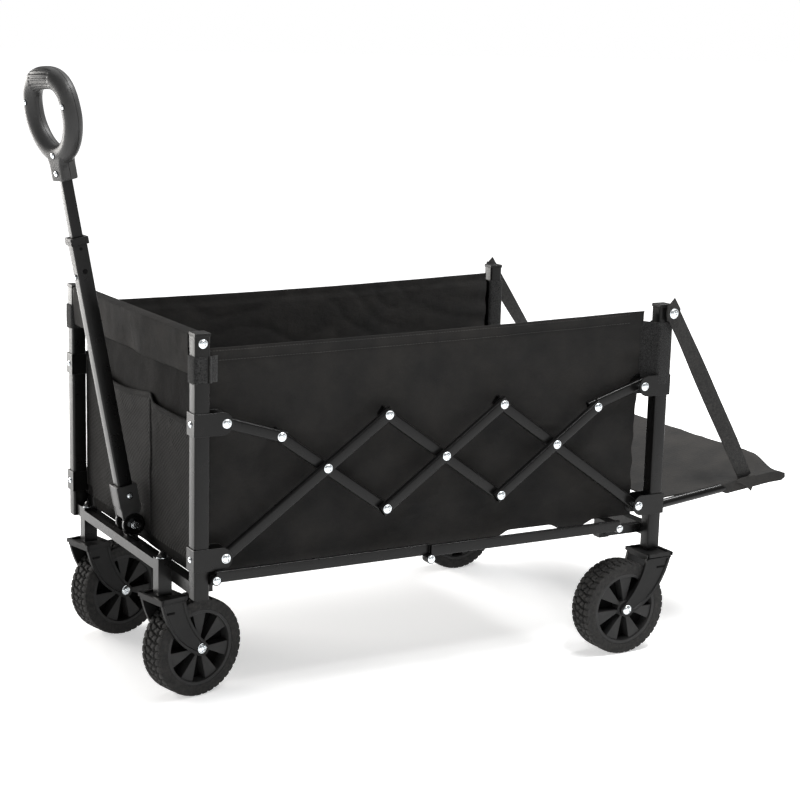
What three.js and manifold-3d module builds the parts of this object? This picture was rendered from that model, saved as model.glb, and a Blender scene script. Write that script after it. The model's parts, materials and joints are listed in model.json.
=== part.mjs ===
// Folding camp wagon: millimetres, +Z up, +X towards the tailgate, the pull handle at -X.
// The right side is -Y. X is measured from the front link rivets until the last lines centre the part.
import * as THREE from 'three';
import { mergeVertices } from 'three/addons/utils/BufferGeometryUtils.js';
import Module from 'manifold-3d';

const wasm = await Module();
wasm.setup();

// Scissor lattice: half links, angle at rest and rivet heights.
const LINK_HALF = 133.4;
const LINK_LONG = 216.1;
const LINK_SHORT = 100.2;
const LINK_ANGLE = THREE.MathUtils.degToRad(35.5);
const LOWER_RIVET_Z = 261;
const UPPER_RIVET_Z = 474;
const LINK_HEIGHT = 18;
const LINK_THICK = 11;
const LINK_WALL = 1.4;
const OUTER_LAYER_Y = 281.5;
const INNER_LAYER_Y = 269.5;

// Posts and rails.
const POST_Y = 275;
const POST_SIZE = 25;
const POST_WALL = 1.4;
const POST_INSET = 39;
const POST_TOP_Z = 613;
const FRONT_POST_BOTTOM_Z = 198;
const REAR_POST_BOTTOM_Z = 178;
const LOWER_RAIL_SIZE = 20;
const LOWER_RAIL_TOP_Z = 220;

// Wheels and casters.
const WHEEL_R = 82;
const TYRE_WIDTH = 48;
const TYRE_INNER_R = 64;
const RIM_WIDTH = 36;
const RIM_WEB = 3;
const SPOKE_COUNT = 7;
const STEM_X = -57.6;
const STEM_Y = 171;
const STEM_SIZE = 22;
const STEM_BOTTOM_Z = 178;
const STEM_TOP_Z = 238;
const CASTER_TRAIL = 58;
const CASTER_YAW = THREE.MathUtils.degToRad(13);
const REAR_AXLE_X = 756;
const REAR_WHEEL_Y = 283;
const FORK_GAP = TYRE_WIDTH / 2 + 1.2;
const FORK_THICK = 5;

// Bottom side rails, two halves each, lapped at the middle with the hinge pin below the tubes.
const RAIL_FRONT_X = -19;
const RAIL_REAR_X = 735;
const RAIL_PIVOT_Z = 229.8;
const RAIL_PIN_Z = 221;
const RAIL_LOW_Z = 226;
const RAIL_HEIGHT = 18;
const RAIL_THICK = 8;
const RAIL_EAR_R = 8;
const RAIL_INNER_Y = 294.4;
const RAIL_OUTER_Y = 302.8;
const RAIL_BLOCK_Y = 289.9;

// Fabric.
const WALL_Y = 257;
const WALL_THICK = 4;
const WALL_BOTTOM_Z = 238;
const WALL_TOP_Z = 601;
const FLOOR_Z = 247;
const FLOOR_THICK = 5;

// Tailgate.
const GATE_X = 853;
const GATE_Z = 252;
const GATE_ANGLE = THREE.MathUtils.degToRad(6.5);
const GATE_LENGTH = 256;
const GATE_Y = 266;
const GATE_TUBE_R = 8;
const STRAP_WIDTH = 28;
const STRAP_Y = 293;

// Pull handle, along its own axis from its pivot.
const HANDLE_X = -46;
const HANDLE_Z = 252;
const HANDLE_LEAN = THREE.MathUtils.degToRad(10.5);
const OUTER_TUBE = 25;
const OUTER_WALL = 1.4;
const OUTER_START = 26;
const OUTER_END = 482;
const INNER_TUBE = 18;
const INNER_START = 150;
const INNER_END = 604;
const BUTTON_AT = 424;
const GRIP_BOTTOM = 580;
const GRIP_CENTRE = 682;
const GRIP_HALF_WIDTH = 52;
const GRIP_HALF_HEIGHT = 62;
const GRIP_TUBE_R = 15.5;
const GRIP_TWIST = THREE.MathUtils.degToRad(15);
const PIVOT_BOLT_R = 4;

const HALF_TURN = Math.PI / 2;
const CIRCLE_STEPS = 32;
const SIDES = [['right', -1], ['left', 1]];

const steel = new THREE.MeshStandardMaterial({ color: 0x141414, roughness: 0.38, metalness: 0.55 });
const fabric = new THREE.MeshStandardMaterial({ color: 0x1b1b1c, roughness: 0.95, metalness: 0 });
const plastic = new THREE.MeshStandardMaterial({ color: 0x2a2b2c, roughness: 0.5, metalness: 0 });
const rubber = new THREE.MeshStandardMaterial({ color: 0x18181a, roughness: 0.85, metalness: 0 });
const zinc = new THREE.MeshStandardMaterial({ color: 0xb9bdc0, roughness: 0.3, metalness: 0.9 });
const webbing = new THREE.MeshStandardMaterial({ color: 0x222224, roughness: 0.9, metalness: 0 });

const wagon = new THREE.Group();

// ---- Solids ----

function plain(geometry) {
  const bare = geometry.clone();
  bare.deleteAttribute('normal');
  bare.deleteAttribute('uv');
  return mergeVertices(bare, 1e-4);
}

function solid(geometry) {
  const merged = plain(geometry);
  const vertProperties = new Float32Array(merged.attributes.position.array);
  const triVerts = new Uint32Array(merged.index.array);
  return new wasm.Manifold(new wasm.Mesh({ numProp: 3, vertProperties, triVerts }));
}

function geometryOf(manifold) {
  const mesh = manifold.getMesh();
  const geometry = new THREE.BufferGeometry();
  geometry.setAttribute('position', new THREE.BufferAttribute(mesh.vertProperties, 3));
  geometry.setIndex(new THREE.BufferAttribute(mesh.triVerts, 1));
  geometry.computeVertexNormals();
  return geometry;
}

function join(...geometries) {
  const whole = geometries.map(solid).reduce((sum, piece) => sum.add(piece));
  return geometryOf(whole);
}

function cut(geometry, ...tools) {
  const rest = tools.map(solid).reduce((left, tool) => left.subtract(tool), solid(geometry));
  return geometryOf(rest);
}

function common(a, b) {
  return geometryOf(solid(a).intersect(solid(b)));
}

function box(x0, x1, y0, y1, z0, z1) {
  const geometry = new THREE.BoxGeometry(x1 - x0, y1 - y0, z1 - z0);
  return geometry.translate((x0 + x1) / 2, (y0 + y1) / 2, (z0 + z1) / 2);
}

function cylinderY(radius, y0, y1, x, z, segments = 24) {
  const geometry = new THREE.CylinderGeometry(radius, radius, y1 - y0, segments);
  return geometry.translate(x, (y0 + y1) / 2, z);
}

function roundedRect(width, height, radius) {
  const shape = new THREE.Shape();
  const x = width / 2;
  const y = height / 2;
  shape.moveTo(-x + radius, -y);
  shape.lineTo(x - radius, -y);
  shape.absarc(x - radius, -y + radius, radius, -HALF_TURN, 0, false);
  shape.lineTo(x, y - radius);
  shape.absarc(x - radius, y - radius, radius, 0, HALF_TURN, false);
  shape.lineTo(-x + radius, y);
  shape.absarc(-x + radius, y - radius, radius, HALF_TURN, Math.PI, false);
  shape.lineTo(-x, -y + radius);
  shape.absarc(-x + radius, -y + radius, radius, Math.PI, 3 * HALF_TURN, false);
  return shape;
}

function tubeSection(width, height, radius, wall) {
  const shape = roundedRect(width, height, radius);
  const hole = roundedRect(width - 2 * wall, height - 2 * wall, Math.max(radius - wall, 0.4));
  shape.holes.push(new THREE.Path(hole.getPoints(2).reverse()));
  return shape;
}

// A hollow rectangular tube along +Z from z = 0.
function tube(width, depth, radius, wall, length) {
  const section = tubeSection(width, depth, radius, wall);
  return new THREE.ExtrudeGeometry(section, { depth: length, bevelEnabled: false, curveSegments: 2 });
}

function extrudeY(shape, y0, y1, curveSegments = 6) {
  const geometry = new THREE.ExtrudeGeometry(shape, { depth: y1 - y0, bevelEnabled: false, curveSegments });
  return geometry.rotateX(HALF_TURN).translate(0, y1, 0);
}

function add(name, geometry, material, parent = wagon) {
  const mesh = new THREE.Mesh(geometry, material);
  mesh.name = name;
  parent.add(mesh);
  return mesh;
}

// ---- Places worked out from the lattice ----

const COS = Math.cos(LINK_ANGLE);
const SIN = Math.sin(LINK_ANGLE);
const STEP_X = LINK_HALF * COS;
const STEP_Z = LINK_HALF * SIN;
const FIRST = [LINK_LONG * COS, LOWER_RIVET_Z + LINK_LONG * SIN];
const REAR_RIVET_X = 2 * LINK_LONG * COS + 4 * STEP_X;
const REAR_POST_X = REAR_RIVET_X + POST_INSET;
const RIVETS = {
  lowerFront: [0, LOWER_RIVET_Z],
  upperFront: [0, UPPER_RIVET_Z],
  shortFront: [FIRST[0] - LINK_SHORT * COS, FIRST[1] + LINK_SHORT * SIN],
  top1: [FIRST[0] + STEP_X, FIRST[1] + STEP_Z],
  bottom1: [FIRST[0] + STEP_X, FIRST[1] - STEP_Z],
  top2: [FIRST[0] + 3 * STEP_X, FIRST[1] + STEP_Z],
  bottom2: [FIRST[0] + 3 * STEP_X, FIRST[1] - STEP_Z],
  shortRear: [FIRST[0] + 4 * STEP_X + LINK_SHORT * COS, FIRST[1] + LINK_SHORT * SIN],
  lowerRear: [REAR_RIVET_X, LOWER_RIVET_Z],
  upperRear: [REAR_RIVET_X, UPPER_RIVET_Z],
};

// ---- Scissor links ----

function link(from, to) {
  const dx = to[0] - from[0];
  const dz = to[1] - from[1];
  const end = LINK_HEIGHT / 2;
  const geometry = tube(LINK_THICK, LINK_HEIGHT, 3, LINK_WALL, Math.hypot(dx, dz) + 2 * end);
  geometry.translate(0, 0, -end).rotateZ(HALF_TURN).rotateY(HALF_TURN);
  geometry.rotateY(-Math.atan2(dz, dx));
  return geometry.translate(from[0], 0, from[1]);
}

const LINKS = [
  ['link_short_front', 'upperFront', 'shortFront', OUTER_LAYER_Y],
  ['link_down_1', 'shortFront', 'bottom1', INNER_LAYER_Y],
  ['link_up_1', 'lowerFront', 'top1', OUTER_LAYER_Y],
  ['link_down_2', 'top1', 'bottom2', INNER_LAYER_Y],
  ['link_up_2', 'bottom1', 'top2', OUTER_LAYER_Y],
  ['link_down_3', 'top2', 'lowerRear', INNER_LAYER_Y],
  ['link_up_3', 'bottom2', 'shortRear', OUTER_LAYER_Y],
  ['link_short_rear', 'shortRear', 'upperRear', INNER_LAYER_Y],
];

for (const [name, from, to, layer] of LINKS) {
  for (const [side, sign] of SIDES) {
    const geometry = link(RIVETS[from], RIVETS[to]);
    add(`${name}_${side}`, geometry, steel).position.y = sign * layer;
  }
}

// ---- Posts, wrap brackets and rails ----

const BRACKET_SHEET = 2;
const BRACKET_GAP = 0.4;
const BRACKET_HEIGHT = 36;
const BRACKET_EAR = 11;

// A strap bent round a post with two ears that hold a link end, open towards +X.
function wrapBracket(z) {
  const inner = POST_SIZE / 2 + BRACKET_GAP;
  const outer = inner + BRACKET_SHEET;
  const low = z - BRACKET_HEIGHT / 2;
  const high = z + BRACKET_HEIGHT / 2;
  const body = box(-POST_INSET - outer, BRACKET_EAR, -outer, outer, low, high);
  const slot = box(-POST_INSET - inner, BRACKET_EAR + 1, -inner, inner, low - 1, high + 1);
  const outline = new THREE.Shape();
  const round = BRACKET_HEIGHT / 2;
  outline.moveTo(-POST_INSET - outer - 1, low);
  outline.lineTo(BRACKET_EAR - round, low);
  outline.absarc(BRACKET_EAR - round, z, round, -HALF_TURN, HALF_TURN, false);
  outline.lineTo(-POST_INSET - outer - 1, high);
  return common(cut(body, slot), extrudeY(outline, -outer - 1, outer + 1));
}

function post(x, bottom) {
  const geometry = tube(POST_SIZE, POST_SIZE, 3.5, POST_WALL, POST_TOP_Z - bottom);
  return geometry.translate(x, 0, bottom);
}

function addFrontPosts() {
  for (const [side, sign] of SIDES) {
    const y = sign * POST_Y;
    add(`post_front_${side}`, post(-POST_INSET, FRONT_POST_BOTTOM_Z), steel).position.y = y;
    add(`bracket_upper_front_${side}`, wrapBracket(UPPER_RIVET_Z), steel).position.y = y;
    add(`bracket_lower_front_${side}`, wrapBracket(LOWER_RIVET_Z), steel).position.y = y;
  }
}

// On a rear post the two brackets are welded on, so they are one piece with it.
function rearPost() {
  const overlap = BRACKET_GAP + 0.2;
  const tabs = [UPPER_RIVET_Z, LOWER_RIVET_Z].map((z) => {
    const face = POST_SIZE / 2 - 0.2;
    return box(-POST_INSET - face - overlap, -POST_INSET - face, -8, 8, z - 10, z + 10);
  });
  const brackets = [UPPER_RIVET_Z, LOWER_RIVET_Z].map(wrapBracket);
  const whole = join(post(-POST_INSET, REAR_POST_BOTTOM_Z), ...brackets, ...tabs);
  return whole.rotateZ(Math.PI).translate(REAR_RIVET_X, 0, 0);
}

function addTopRail() {
  const half = POST_Y - POST_SIZE / 2 - 0.4;
  const geometry = tube(22, 22, 3, POST_WALL, 2 * half);
  geometry.rotateX(HALF_TURN).translate(-POST_INSET, half, POST_TOP_Z - 13);
  add('front_top_rail', geometry, steel);
}

function lowerRail(x0, x1) {
  const half = POST_Y - POST_SIZE / 2 - 0.4;
  return box(x0, x1, -half, half, LOWER_RAIL_TOP_Z - LOWER_RAIL_SIZE, LOWER_RAIL_TOP_Z);
}

// Lower front rail, the two caster stems on its front face and the short rail between them.
function addFrontChassis() {
  const railFront = -POST_INSET - 7;
  const pieces = [lowerRail(railFront, railFront + LOWER_RAIL_SIZE)];
  const half = STEM_SIZE / 2;
  for (const sign of [-1, 1]) {
    const y = sign * STEM_Y;
    pieces.push(box(STEM_X - half, railFront + 0.4, y - half, y + half, STEM_BOTTOM_Z, STEM_TOP_Z));
  }
  pieces.push(box(STEM_X - half, STEM_X - half + 12.6, -STEM_Y, STEM_Y, 218, 234));
  pieces.push(handleLug());
  for (const sign of [-1, 1]) {
    pieces.push(across(railFront + 2, RAIL_FRONT_X + 9, 235, POST_Y - POST_SIZE / 2 - 1, sign, 202, 218));
    const blockFront = -POST_INSET + POST_SIZE / 2 + 0.4;
    pieces.push(across(blockFront, RAIL_FRONT_X + 9, 235, 262, sign, 202, 237));
    pieces.push(across(blockFront, RAIL_FRONT_X + 9, 256, RAIL_BLOCK_Y, sign, 221, 237));
  }
  const bolt = cylinderY(PIVOT_BOLT_R + 0.3, -20, 20, HANDLE_X, HANDLE_Z, 16);
  add('front_chassis', cut(join(...pieces), bolt), steel);
}

// A box on one side of the wagon, between two distances from its middle plane.
function across(x0, x1, near, far, sign, z0, z1) {
  const y0 = Math.min(sign * near, sign * far);
  const y1 = Math.max(sign * near, sign * far);
  return box(x0, x1, y0, y1, z0, z1);
}

function handleLug() {
  const lug = new THREE.Shape();
  const radius = 9;
  lug.moveTo(HANDLE_X - radius, LOWER_RAIL_TOP_Z - 4);
  lug.lineTo(HANDLE_X + 12, LOWER_RAIL_TOP_Z - 4);
  lug.lineTo(HANDLE_X + radius, HANDLE_Z);
  lug.absarc(HANDLE_X, HANDLE_Z, radius, 0, Math.PI, false);
  return extrudeY(lug, -9, 9);
}

// Lower rear rail with two arms that carry the rear ends of the bottom side rails.
function addRearChassis() {
  const x = REAR_POST_X;
  const pieces = [lowerRail(x - 10, x + 10)];
  for (const sign of [-1, 1]) {
    pieces.push(across(RAIL_REAR_X - 10, x - 4, 244, 258, sign, 203, 218));
    pieces.push(across(RAIL_REAR_X - 10, RAIL_REAR_X + 10, 244, 262, sign, 203, 237));
    pieces.push(across(RAIL_REAR_X - 10, RAIL_REAR_X + 10, 256, RAIL_BLOCK_Y, sign, 221, 237));
  }
  add('rear_chassis', join(...pieces), steel);
}

// ---- Bottom side rails ----

// Half a rail, from its end pivot at x = 0 to the hinge pin at x = reach.
function halfRail(reach) {
  const half = RAIL_THICK / 2;
  const length = Math.abs(reach);
  const bar = tube(RAIL_THICK, RAIL_HEIGHT, 1.5, 1.3, length);
  bar.rotateZ(HALF_TURN).rotateY(HALF_TURN).translate(Math.min(0, reach), 0, RAIL_LOW_Z + RAIL_HEIGHT / 2);
  const pivotEar = cylinderY(RAIL_EAR_R, -half, half, 0, RAIL_PIVOT_Z, 16);
  const pinEar = cylinderY(RAIL_EAR_R, -half, half, reach, RAIL_PIN_Z, 16);
  return join(bar, pivotEar, pinEar);
}

function addBottomRails() {
  const middle = (RAIL_FRONT_X + RAIL_REAR_X) / 2;
  for (const [side, sign] of SIDES) {
    const front = add(`rail_front_half_${side}`, halfRail(middle - RAIL_FRONT_X), steel);
    front.position.set(RAIL_FRONT_X, sign * RAIL_INNER_Y, 0);
    const rear = add(`rail_rear_half_${side}`, halfRail(middle - RAIL_REAR_X), steel);
    rear.position.set(RAIL_REAR_X, sign * RAIL_OUTER_Y, 0);
  }
}

// ---- Wheels, forks ----

function tyre() {
  const half = TYRE_WIDTH / 2;
  const shoulder = 6;
  const points = [
    [TYRE_INNER_R, -half],
    [WHEEL_R - shoulder, -half],
    [WHEEL_R, -half + shoulder],
    [WHEEL_R, half - shoulder],
    [WHEEL_R - shoulder, half],
    [TYRE_INNER_R, half],
    [TYRE_INNER_R, -half],
  ];
  return new THREE.LatheGeometry(points.map(([r, y]) => new THREE.Vector2(r, y)), CIRCLE_STEPS);
}

function spokeWindow(index) {
  const pitch = 2 * Math.PI / SPOKE_COUNT;
  const middle = index * pitch;
  const window = new THREE.Path();
  const inner = 17;
  const outer = 52;
  const narrow = pitch * 0.22;
  const wide = pitch * 0.26;
  window.moveTo(inner * Math.cos(middle - narrow), inner * Math.sin(middle - narrow));
  window.lineTo(outer * Math.cos(middle - wide), outer * Math.sin(middle - wide));
  window.absarc(0, 0, outer, middle - wide, middle + wide, false);
  window.lineTo(inner * Math.cos(middle + narrow), inner * Math.sin(middle + narrow));
  return window;
}

// A disc with spokes on both faces and a thin web between them, so the windows are pockets.
function rim() {
  const edge = new THREE.EllipseCurve(0, 0, TYRE_INNER_R - 0.5, TYRE_INNER_R - 0.5);
  const disc = new THREE.Shape(edge.getPoints(CIRCLE_STEPS).slice(0, -1));
  for (let i = 0; i < SPOKE_COUNT; i += 1) {
    disc.holes.push(spokeWindow(i));
  }
  const spokes = extrudeY(disc, -RIM_WIDTH / 2, RIM_WIDTH / 2, 5);
  return join(spokes, cylinderY(54, -RIM_WEB / 2, RIM_WEB / 2, 0, 0, 48));
}

// Side arm outline, relative to the axle: the top lies ahead of it at -X and the foot is round.
function forkArm(topFrom, topTo, topZ) {
  const end = 13;
  const arm = new THREE.Shape();
  arm.moveTo(topFrom, topZ);
  arm.quadraticCurveTo(topFrom * 0.82, topZ * 0.22, -end, 0);
  arm.absarc(0, 0, end, Math.PI, 2 * Math.PI, false);
  arm.quadraticCurveTo(topTo * 0.7, topZ * 0.5, topTo, topZ);
  return arm;
}

function fork(topFrom, topTo, topZ) {
  const arm = forkArm(topFrom, topTo, topZ);
  const arms = [-1, 1].map((sign) => {
    const near = sign * FORK_GAP;
    const far = sign * (FORK_GAP + FORK_THICK);
    return extrudeY(arm, Math.min(near, far), Math.max(near, far));
  });
  const reach = FORK_GAP + FORK_THICK;
  const bridge = box(topFrom, topTo, -reach, reach, topZ - 6, topZ + 6);
  return join(...arms, bridge);
}

function addWheel(name, parent, x, y) {
  add(`tyre_${name}`, tyre(), rubber, parent).position.set(x, y, WHEEL_R);
  add(`rim_${name}`, rim(), plastic, parent).position.set(x, y, WHEEL_R);
}

function addCasters() {
  const plateZ = STEM_BOTTOM_Z - 0.4 - 6 - WHEEL_R;
  for (const [side, sign] of SIDES) {
    const caster = new THREE.Group();
    caster.position.set(STEM_X, sign * STEM_Y, 0);
    caster.rotation.z = CASTER_YAW;
    wagon.add(caster);
    const piece = add(`fork_front_${side}`, fork(-CASTER_TRAIL - 22, -CASTER_TRAIL + 24, plateZ), plastic, caster);
    piece.position.set(CASTER_TRAIL, 0, WHEEL_R);
    addWheel(`front_${side}`, caster, CASTER_TRAIL, 0);
  }
}

function addRearWheels() {
  const plateZ = REAR_POST_BOTTOM_Z - 0.4 - 6 - WHEEL_R;
  const reach = REAR_POST_X - REAR_AXLE_X;
  for (const [side, sign] of SIDES) {
    const y = sign * REAR_WHEEL_Y;
    const geometry = fork(-reach - 20, -reach + 32, plateZ).rotateZ(Math.PI);
    const piece = add(`fork_rear_${side}`, geometry, plastic);
    piece.position.set(REAR_AXLE_X, y, WHEEL_R);
    addWheel(`rear_${side}`, wagon, REAR_AXLE_X, y);
  }
}

// ---- Fabric ----

function addWalls() {
  const front = -POST_INSET + POST_SIZE / 2 + 0.5;
  for (const [side, sign] of SIDES) {
    const y = sign * WALL_Y;
    const half = WALL_THICK / 2;
    const geometry = box(front, REAR_RIVET_X + 6, y - half, y + half, WALL_BOTTOM_Z, WALL_TOP_Z);
    add(`side_wall_${side}`, geometry, fabric);
  }
  const reach = WALL_Y - WALL_THICK / 2 - 0.5;
  const panel = box(front, front + 4, -reach, reach, WALL_BOTTOM_Z, WALL_TOP_Z);
  add('front_panel', panel, fabric);
}

function addFloor() {
  const top = FLOOR_Z + FLOOR_THICK;
  const reach = WALL_Y - WALL_THICK / 2 - 1;
  const middle = (RAIL_FRONT_X + RAIL_REAR_X) / 2;
  const start = -POST_INSET + POST_SIZE / 2 + 6;
  add('floor_front', box(start, middle - 0.3, -reach, reach, FLOOR_Z, top), fabric);
  add('floor_rear', box(middle + 0.3, REAR_RIVET_X + 6, -reach, reach, FLOOR_Z, top), fabric);
}

// ---- Tailgate ----

function gatePath() {
  const bend = 34;
  const path = new THREE.CurvePath();
  const p = (x, y) => new THREE.Vector3(x, y, 0);
  path.add(new THREE.LineCurve3(p(0, -GATE_Y), p(GATE_LENGTH - bend, -GATE_Y)));
  const corner = p(GATE_LENGTH, -GATE_Y);
  path.add(new THREE.QuadraticBezierCurve3(p(GATE_LENGTH - bend, -GATE_Y), corner, p(GATE_LENGTH, -GATE_Y + bend)));
  path.add(new THREE.LineCurve3(p(GATE_LENGTH, -GATE_Y + bend), p(GATE_LENGTH, GATE_Y - bend)));
  const second = p(GATE_LENGTH, GATE_Y);
  path.add(new THREE.QuadraticBezierCurve3(p(GATE_LENGTH, GATE_Y - bend), second, p(GATE_LENGTH - bend, GATE_Y)));
  path.add(new THREE.LineCurve3(p(GATE_LENGTH - bend, GATE_Y), p(0, GATE_Y)));
  return path;
}

function addTailgate() {
  const gate = new THREE.Group();
  gate.position.set(GATE_X, 0, GATE_Z);
  gate.rotation.y = -GATE_ANGLE;
  wagon.add(gate);
  const section = new THREE.Shape();
  section.absarc(0, 0, GATE_TUBE_R, 0, 2 * Math.PI, false);
  const options = { steps: 44, extrudePath: gatePath(), curveSegments: 4, bevelEnabled: false };
  add('tailgate_frame', new THREE.ExtrudeGeometry(section, options), steel, gate);
  const reach = GATE_Y - GATE_TUBE_R - 1;
  const depth = GATE_LENGTH - GATE_TUBE_R - 1;
  const panel = new THREE.ExtrudeGeometry(roundedRect(depth, 2 * reach, 40), { depth: 4, bevelEnabled: false });
  add('tailgate_panel', panel.translate(depth / 2, 0, 0), fabric, gate);
}

function addStraps() {
  const top = [REAR_POST_X + 4, POST_TOP_Z - 10];
  const reach = GATE_LENGTH - 36;
  const foot = [GATE_X + reach * Math.cos(GATE_ANGLE), GATE_Z + reach * Math.sin(GATE_ANGLE) + 6];
  const dx = foot[0] - top[0];
  const dz = foot[1] - top[1];
  for (const [side, sign] of SIDES) {
    const geometry = box(0, Math.hypot(dx, dz), -1, 1, -STRAP_WIDTH / 2, STRAP_WIDTH / 2);
    geometry.rotateY(-Math.atan2(dz, dx));
    add(`strap_${side}`, geometry, webbing).position.set(top[0], sign * STRAP_Y, top[1]);
  }
}

// ---- Pull handle ----

// The loop: an egg-shaped ring across the wagon, thicker where the hand holds it at the top.
function ring() {
  const geometry = new THREE.TorusGeometry(1, 0.2, 10, 32);
  const position = geometry.attributes.position;
  for (let i = 0; i < position.count; i += 1) {
    const x = position.getX(i);
    const y = position.getY(i);
    const angle = Math.atan2(y, x);
    const rise = Math.sin(angle);
    const radius = GRIP_TUBE_R * (1 + 0.22 * Math.max(0, rise) ** 3);
    const across = (Math.hypot(x, y) - 1) * 5 * radius;
    const depth = position.getZ(i) * 5 * GRIP_TUBE_R;
    const taper = 1 - 0.14 * Math.max(0, -rise);
    const side = (GRIP_HALF_WIDTH * taper + across) * Math.cos(angle);
    position.setXYZ(i, depth, side, GRIP_CENTRE + (GRIP_HALF_HEIGHT + across) * rise);
  }
  return geometry;
}

function addHandle() {
  const handle = new THREE.Group();
  handle.position.set(HANDLE_X, 0, HANDLE_Z);
  handle.rotation.y = -HANDLE_LEAN;
  wagon.add(handle);
  addKnuckle(handle);
  const half = OUTER_TUBE / 2;
  const hole = new THREE.CylinderGeometry(4.2, 4.2, 12, 16).rotateZ(HALF_TURN).translate(-half, 0, BUTTON_AT);
  const outer = tube(OUTER_TUBE, OUTER_TUBE, 3, OUTER_WALL, OUTER_END - OUTER_START);
  outer.translate(0, 0, OUTER_START);
  add('handle_outer_tube', cut(outer, hole), steel, handle);
  const inner = tube(INNER_TUBE, INNER_TUBE, 2.5, 1.2, INNER_END - INNER_START);
  add('handle_inner_tube', inner.translate(0, 0, INNER_START), steel, handle);
  addCollar(handle);
  const button = new THREE.CylinderGeometry(3.8, 3.8, 4.2, 16).rotateZ(HALF_TURN);
  add('handle_button', button.translate(-half - 0.9, 0, BUTTON_AT), zinc, handle);
  addGrip(handle);
}

// Moulded socket for the outer tube, on two round cheeks that turn on the pivot bolt.
function addKnuckle(handle) {
  const wide = OUTER_TUBE / 2 + 0.4;
  const outside = wide + 5;
  const socket = box(-outside, outside, -outside, outside, OUTER_START - 6, 68);
  const bore = box(-wide, wide, -wide, wide, OUTER_START - 0.4, 90);
  const cheeks = [-1, 1].map((sign) => {
    const round = cylinderY(20, Math.min(sign * 9.6, sign * outside), Math.max(sign * 9.6, sign * outside), 0, 0);
    return join(round, across(-13, 13, 9.6, outside, sign, 0, OUTER_START));
  });
  const bolt = cylinderY(PIVOT_BOLT_R + 0.3, -30, 30, 0, 0, 16);
  add('handle_knuckle', cut(join(socket, ...cheeks), bore, bolt), plastic, handle);
}

function addCollar(handle) {
  const outside = OUTER_TUBE / 2 + 2.6;
  const inside = INNER_TUBE / 2 + 0.5;
  const low = OUTER_END + 0.4;
  const body = box(-outside, outside, -outside, outside, low - 7, low + 5);
  const bore = box(-inside, inside, -inside, inside, low - 9, low + 9);
  const wide = OUTER_TUBE / 2 + 0.3;
  const seat = box(-wide, wide, -wide, wide, low - 9, low);
  add('handle_collar', cut(body, bore, seat), plastic, handle);
}

// Two half shells that meet on the loop's own plane, turned a little on the tube.
function addGrip(handle) {
  const reach = INNER_TUBE / 2 + 0.6;
  const socket = box(-15, 15, -17, 17, GRIP_BOTTOM, GRIP_CENTRE - GRIP_HALF_HEIGHT + 6);
  const bore = box(-reach, reach, -reach, reach, GRIP_BOTTOM - 1, INNER_END + 0.4);
  const whole = join(ring(), socket).rotateZ(GRIP_TWIST);
  const hollow = cut(whole, bore);
  for (const [side, sign] of [['front', -1], ['back', 1]]) {
    const x0 = sign < 0 ? -60 : 0.15;
    const half = box(x0, x0 + 59.85, -90, 90, GRIP_BOTTOM - 5, GRIP_CENTRE + 100).rotateZ(GRIP_TWIST);
    add(`handle_grip_${side}`, common(hollow, half), plastic, handle);
  }
}

// Hex bolt through the lug and the knuckle's cheeks, with its nut on the far end.
function addPivotBolt() {
  const near = OUTER_TUBE / 2 + 5.8;
  const shaft = cylinderY(PIVOT_BOLT_R, -near - 6, near + 6, HANDLE_X, HANDLE_Z, 16);
  const head = cylinderY(7, -near - 5, -near, HANDLE_X, HANDLE_Z, 6);
  const nut = cylinderY(7, near, near + 5, HANDLE_X, HANDLE_Z, 6);
  add('handle_pivot_bolt', join(shaft, head, nut), zinc);
}

function centreOnFloor() {
  wagon.updateMatrixWorld(true);
  const bounds = new THREE.Box3().setFromObject(wagon);
  const centre = bounds.getCenter(new THREE.Vector3());
  wagon.position.set(-centre.x, -centre.y, -bounds.min.z);
}

addFrontPosts();
addTopRail();
addFrontChassis();
for (const [side, sign] of SIDES) {
  add(`post_rear_${side}`, rearPost(), steel).position.y = sign * POST_Y;
}
addRearChassis();
addBottomRails();
addCasters();
addRearWheels();
addWalls();
addFloor();
addTailgate();
addStraps();
addHandle();
addPivotBolt();
centreOnFloor();

export default wagon;
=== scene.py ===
"""Looks of the folding camp wagon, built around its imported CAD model. Metres, +Z up, +X to the tailgate."""
import json
import math

import bmesh
import bpy
from mathutils import Matrix, Vector, noise

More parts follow.
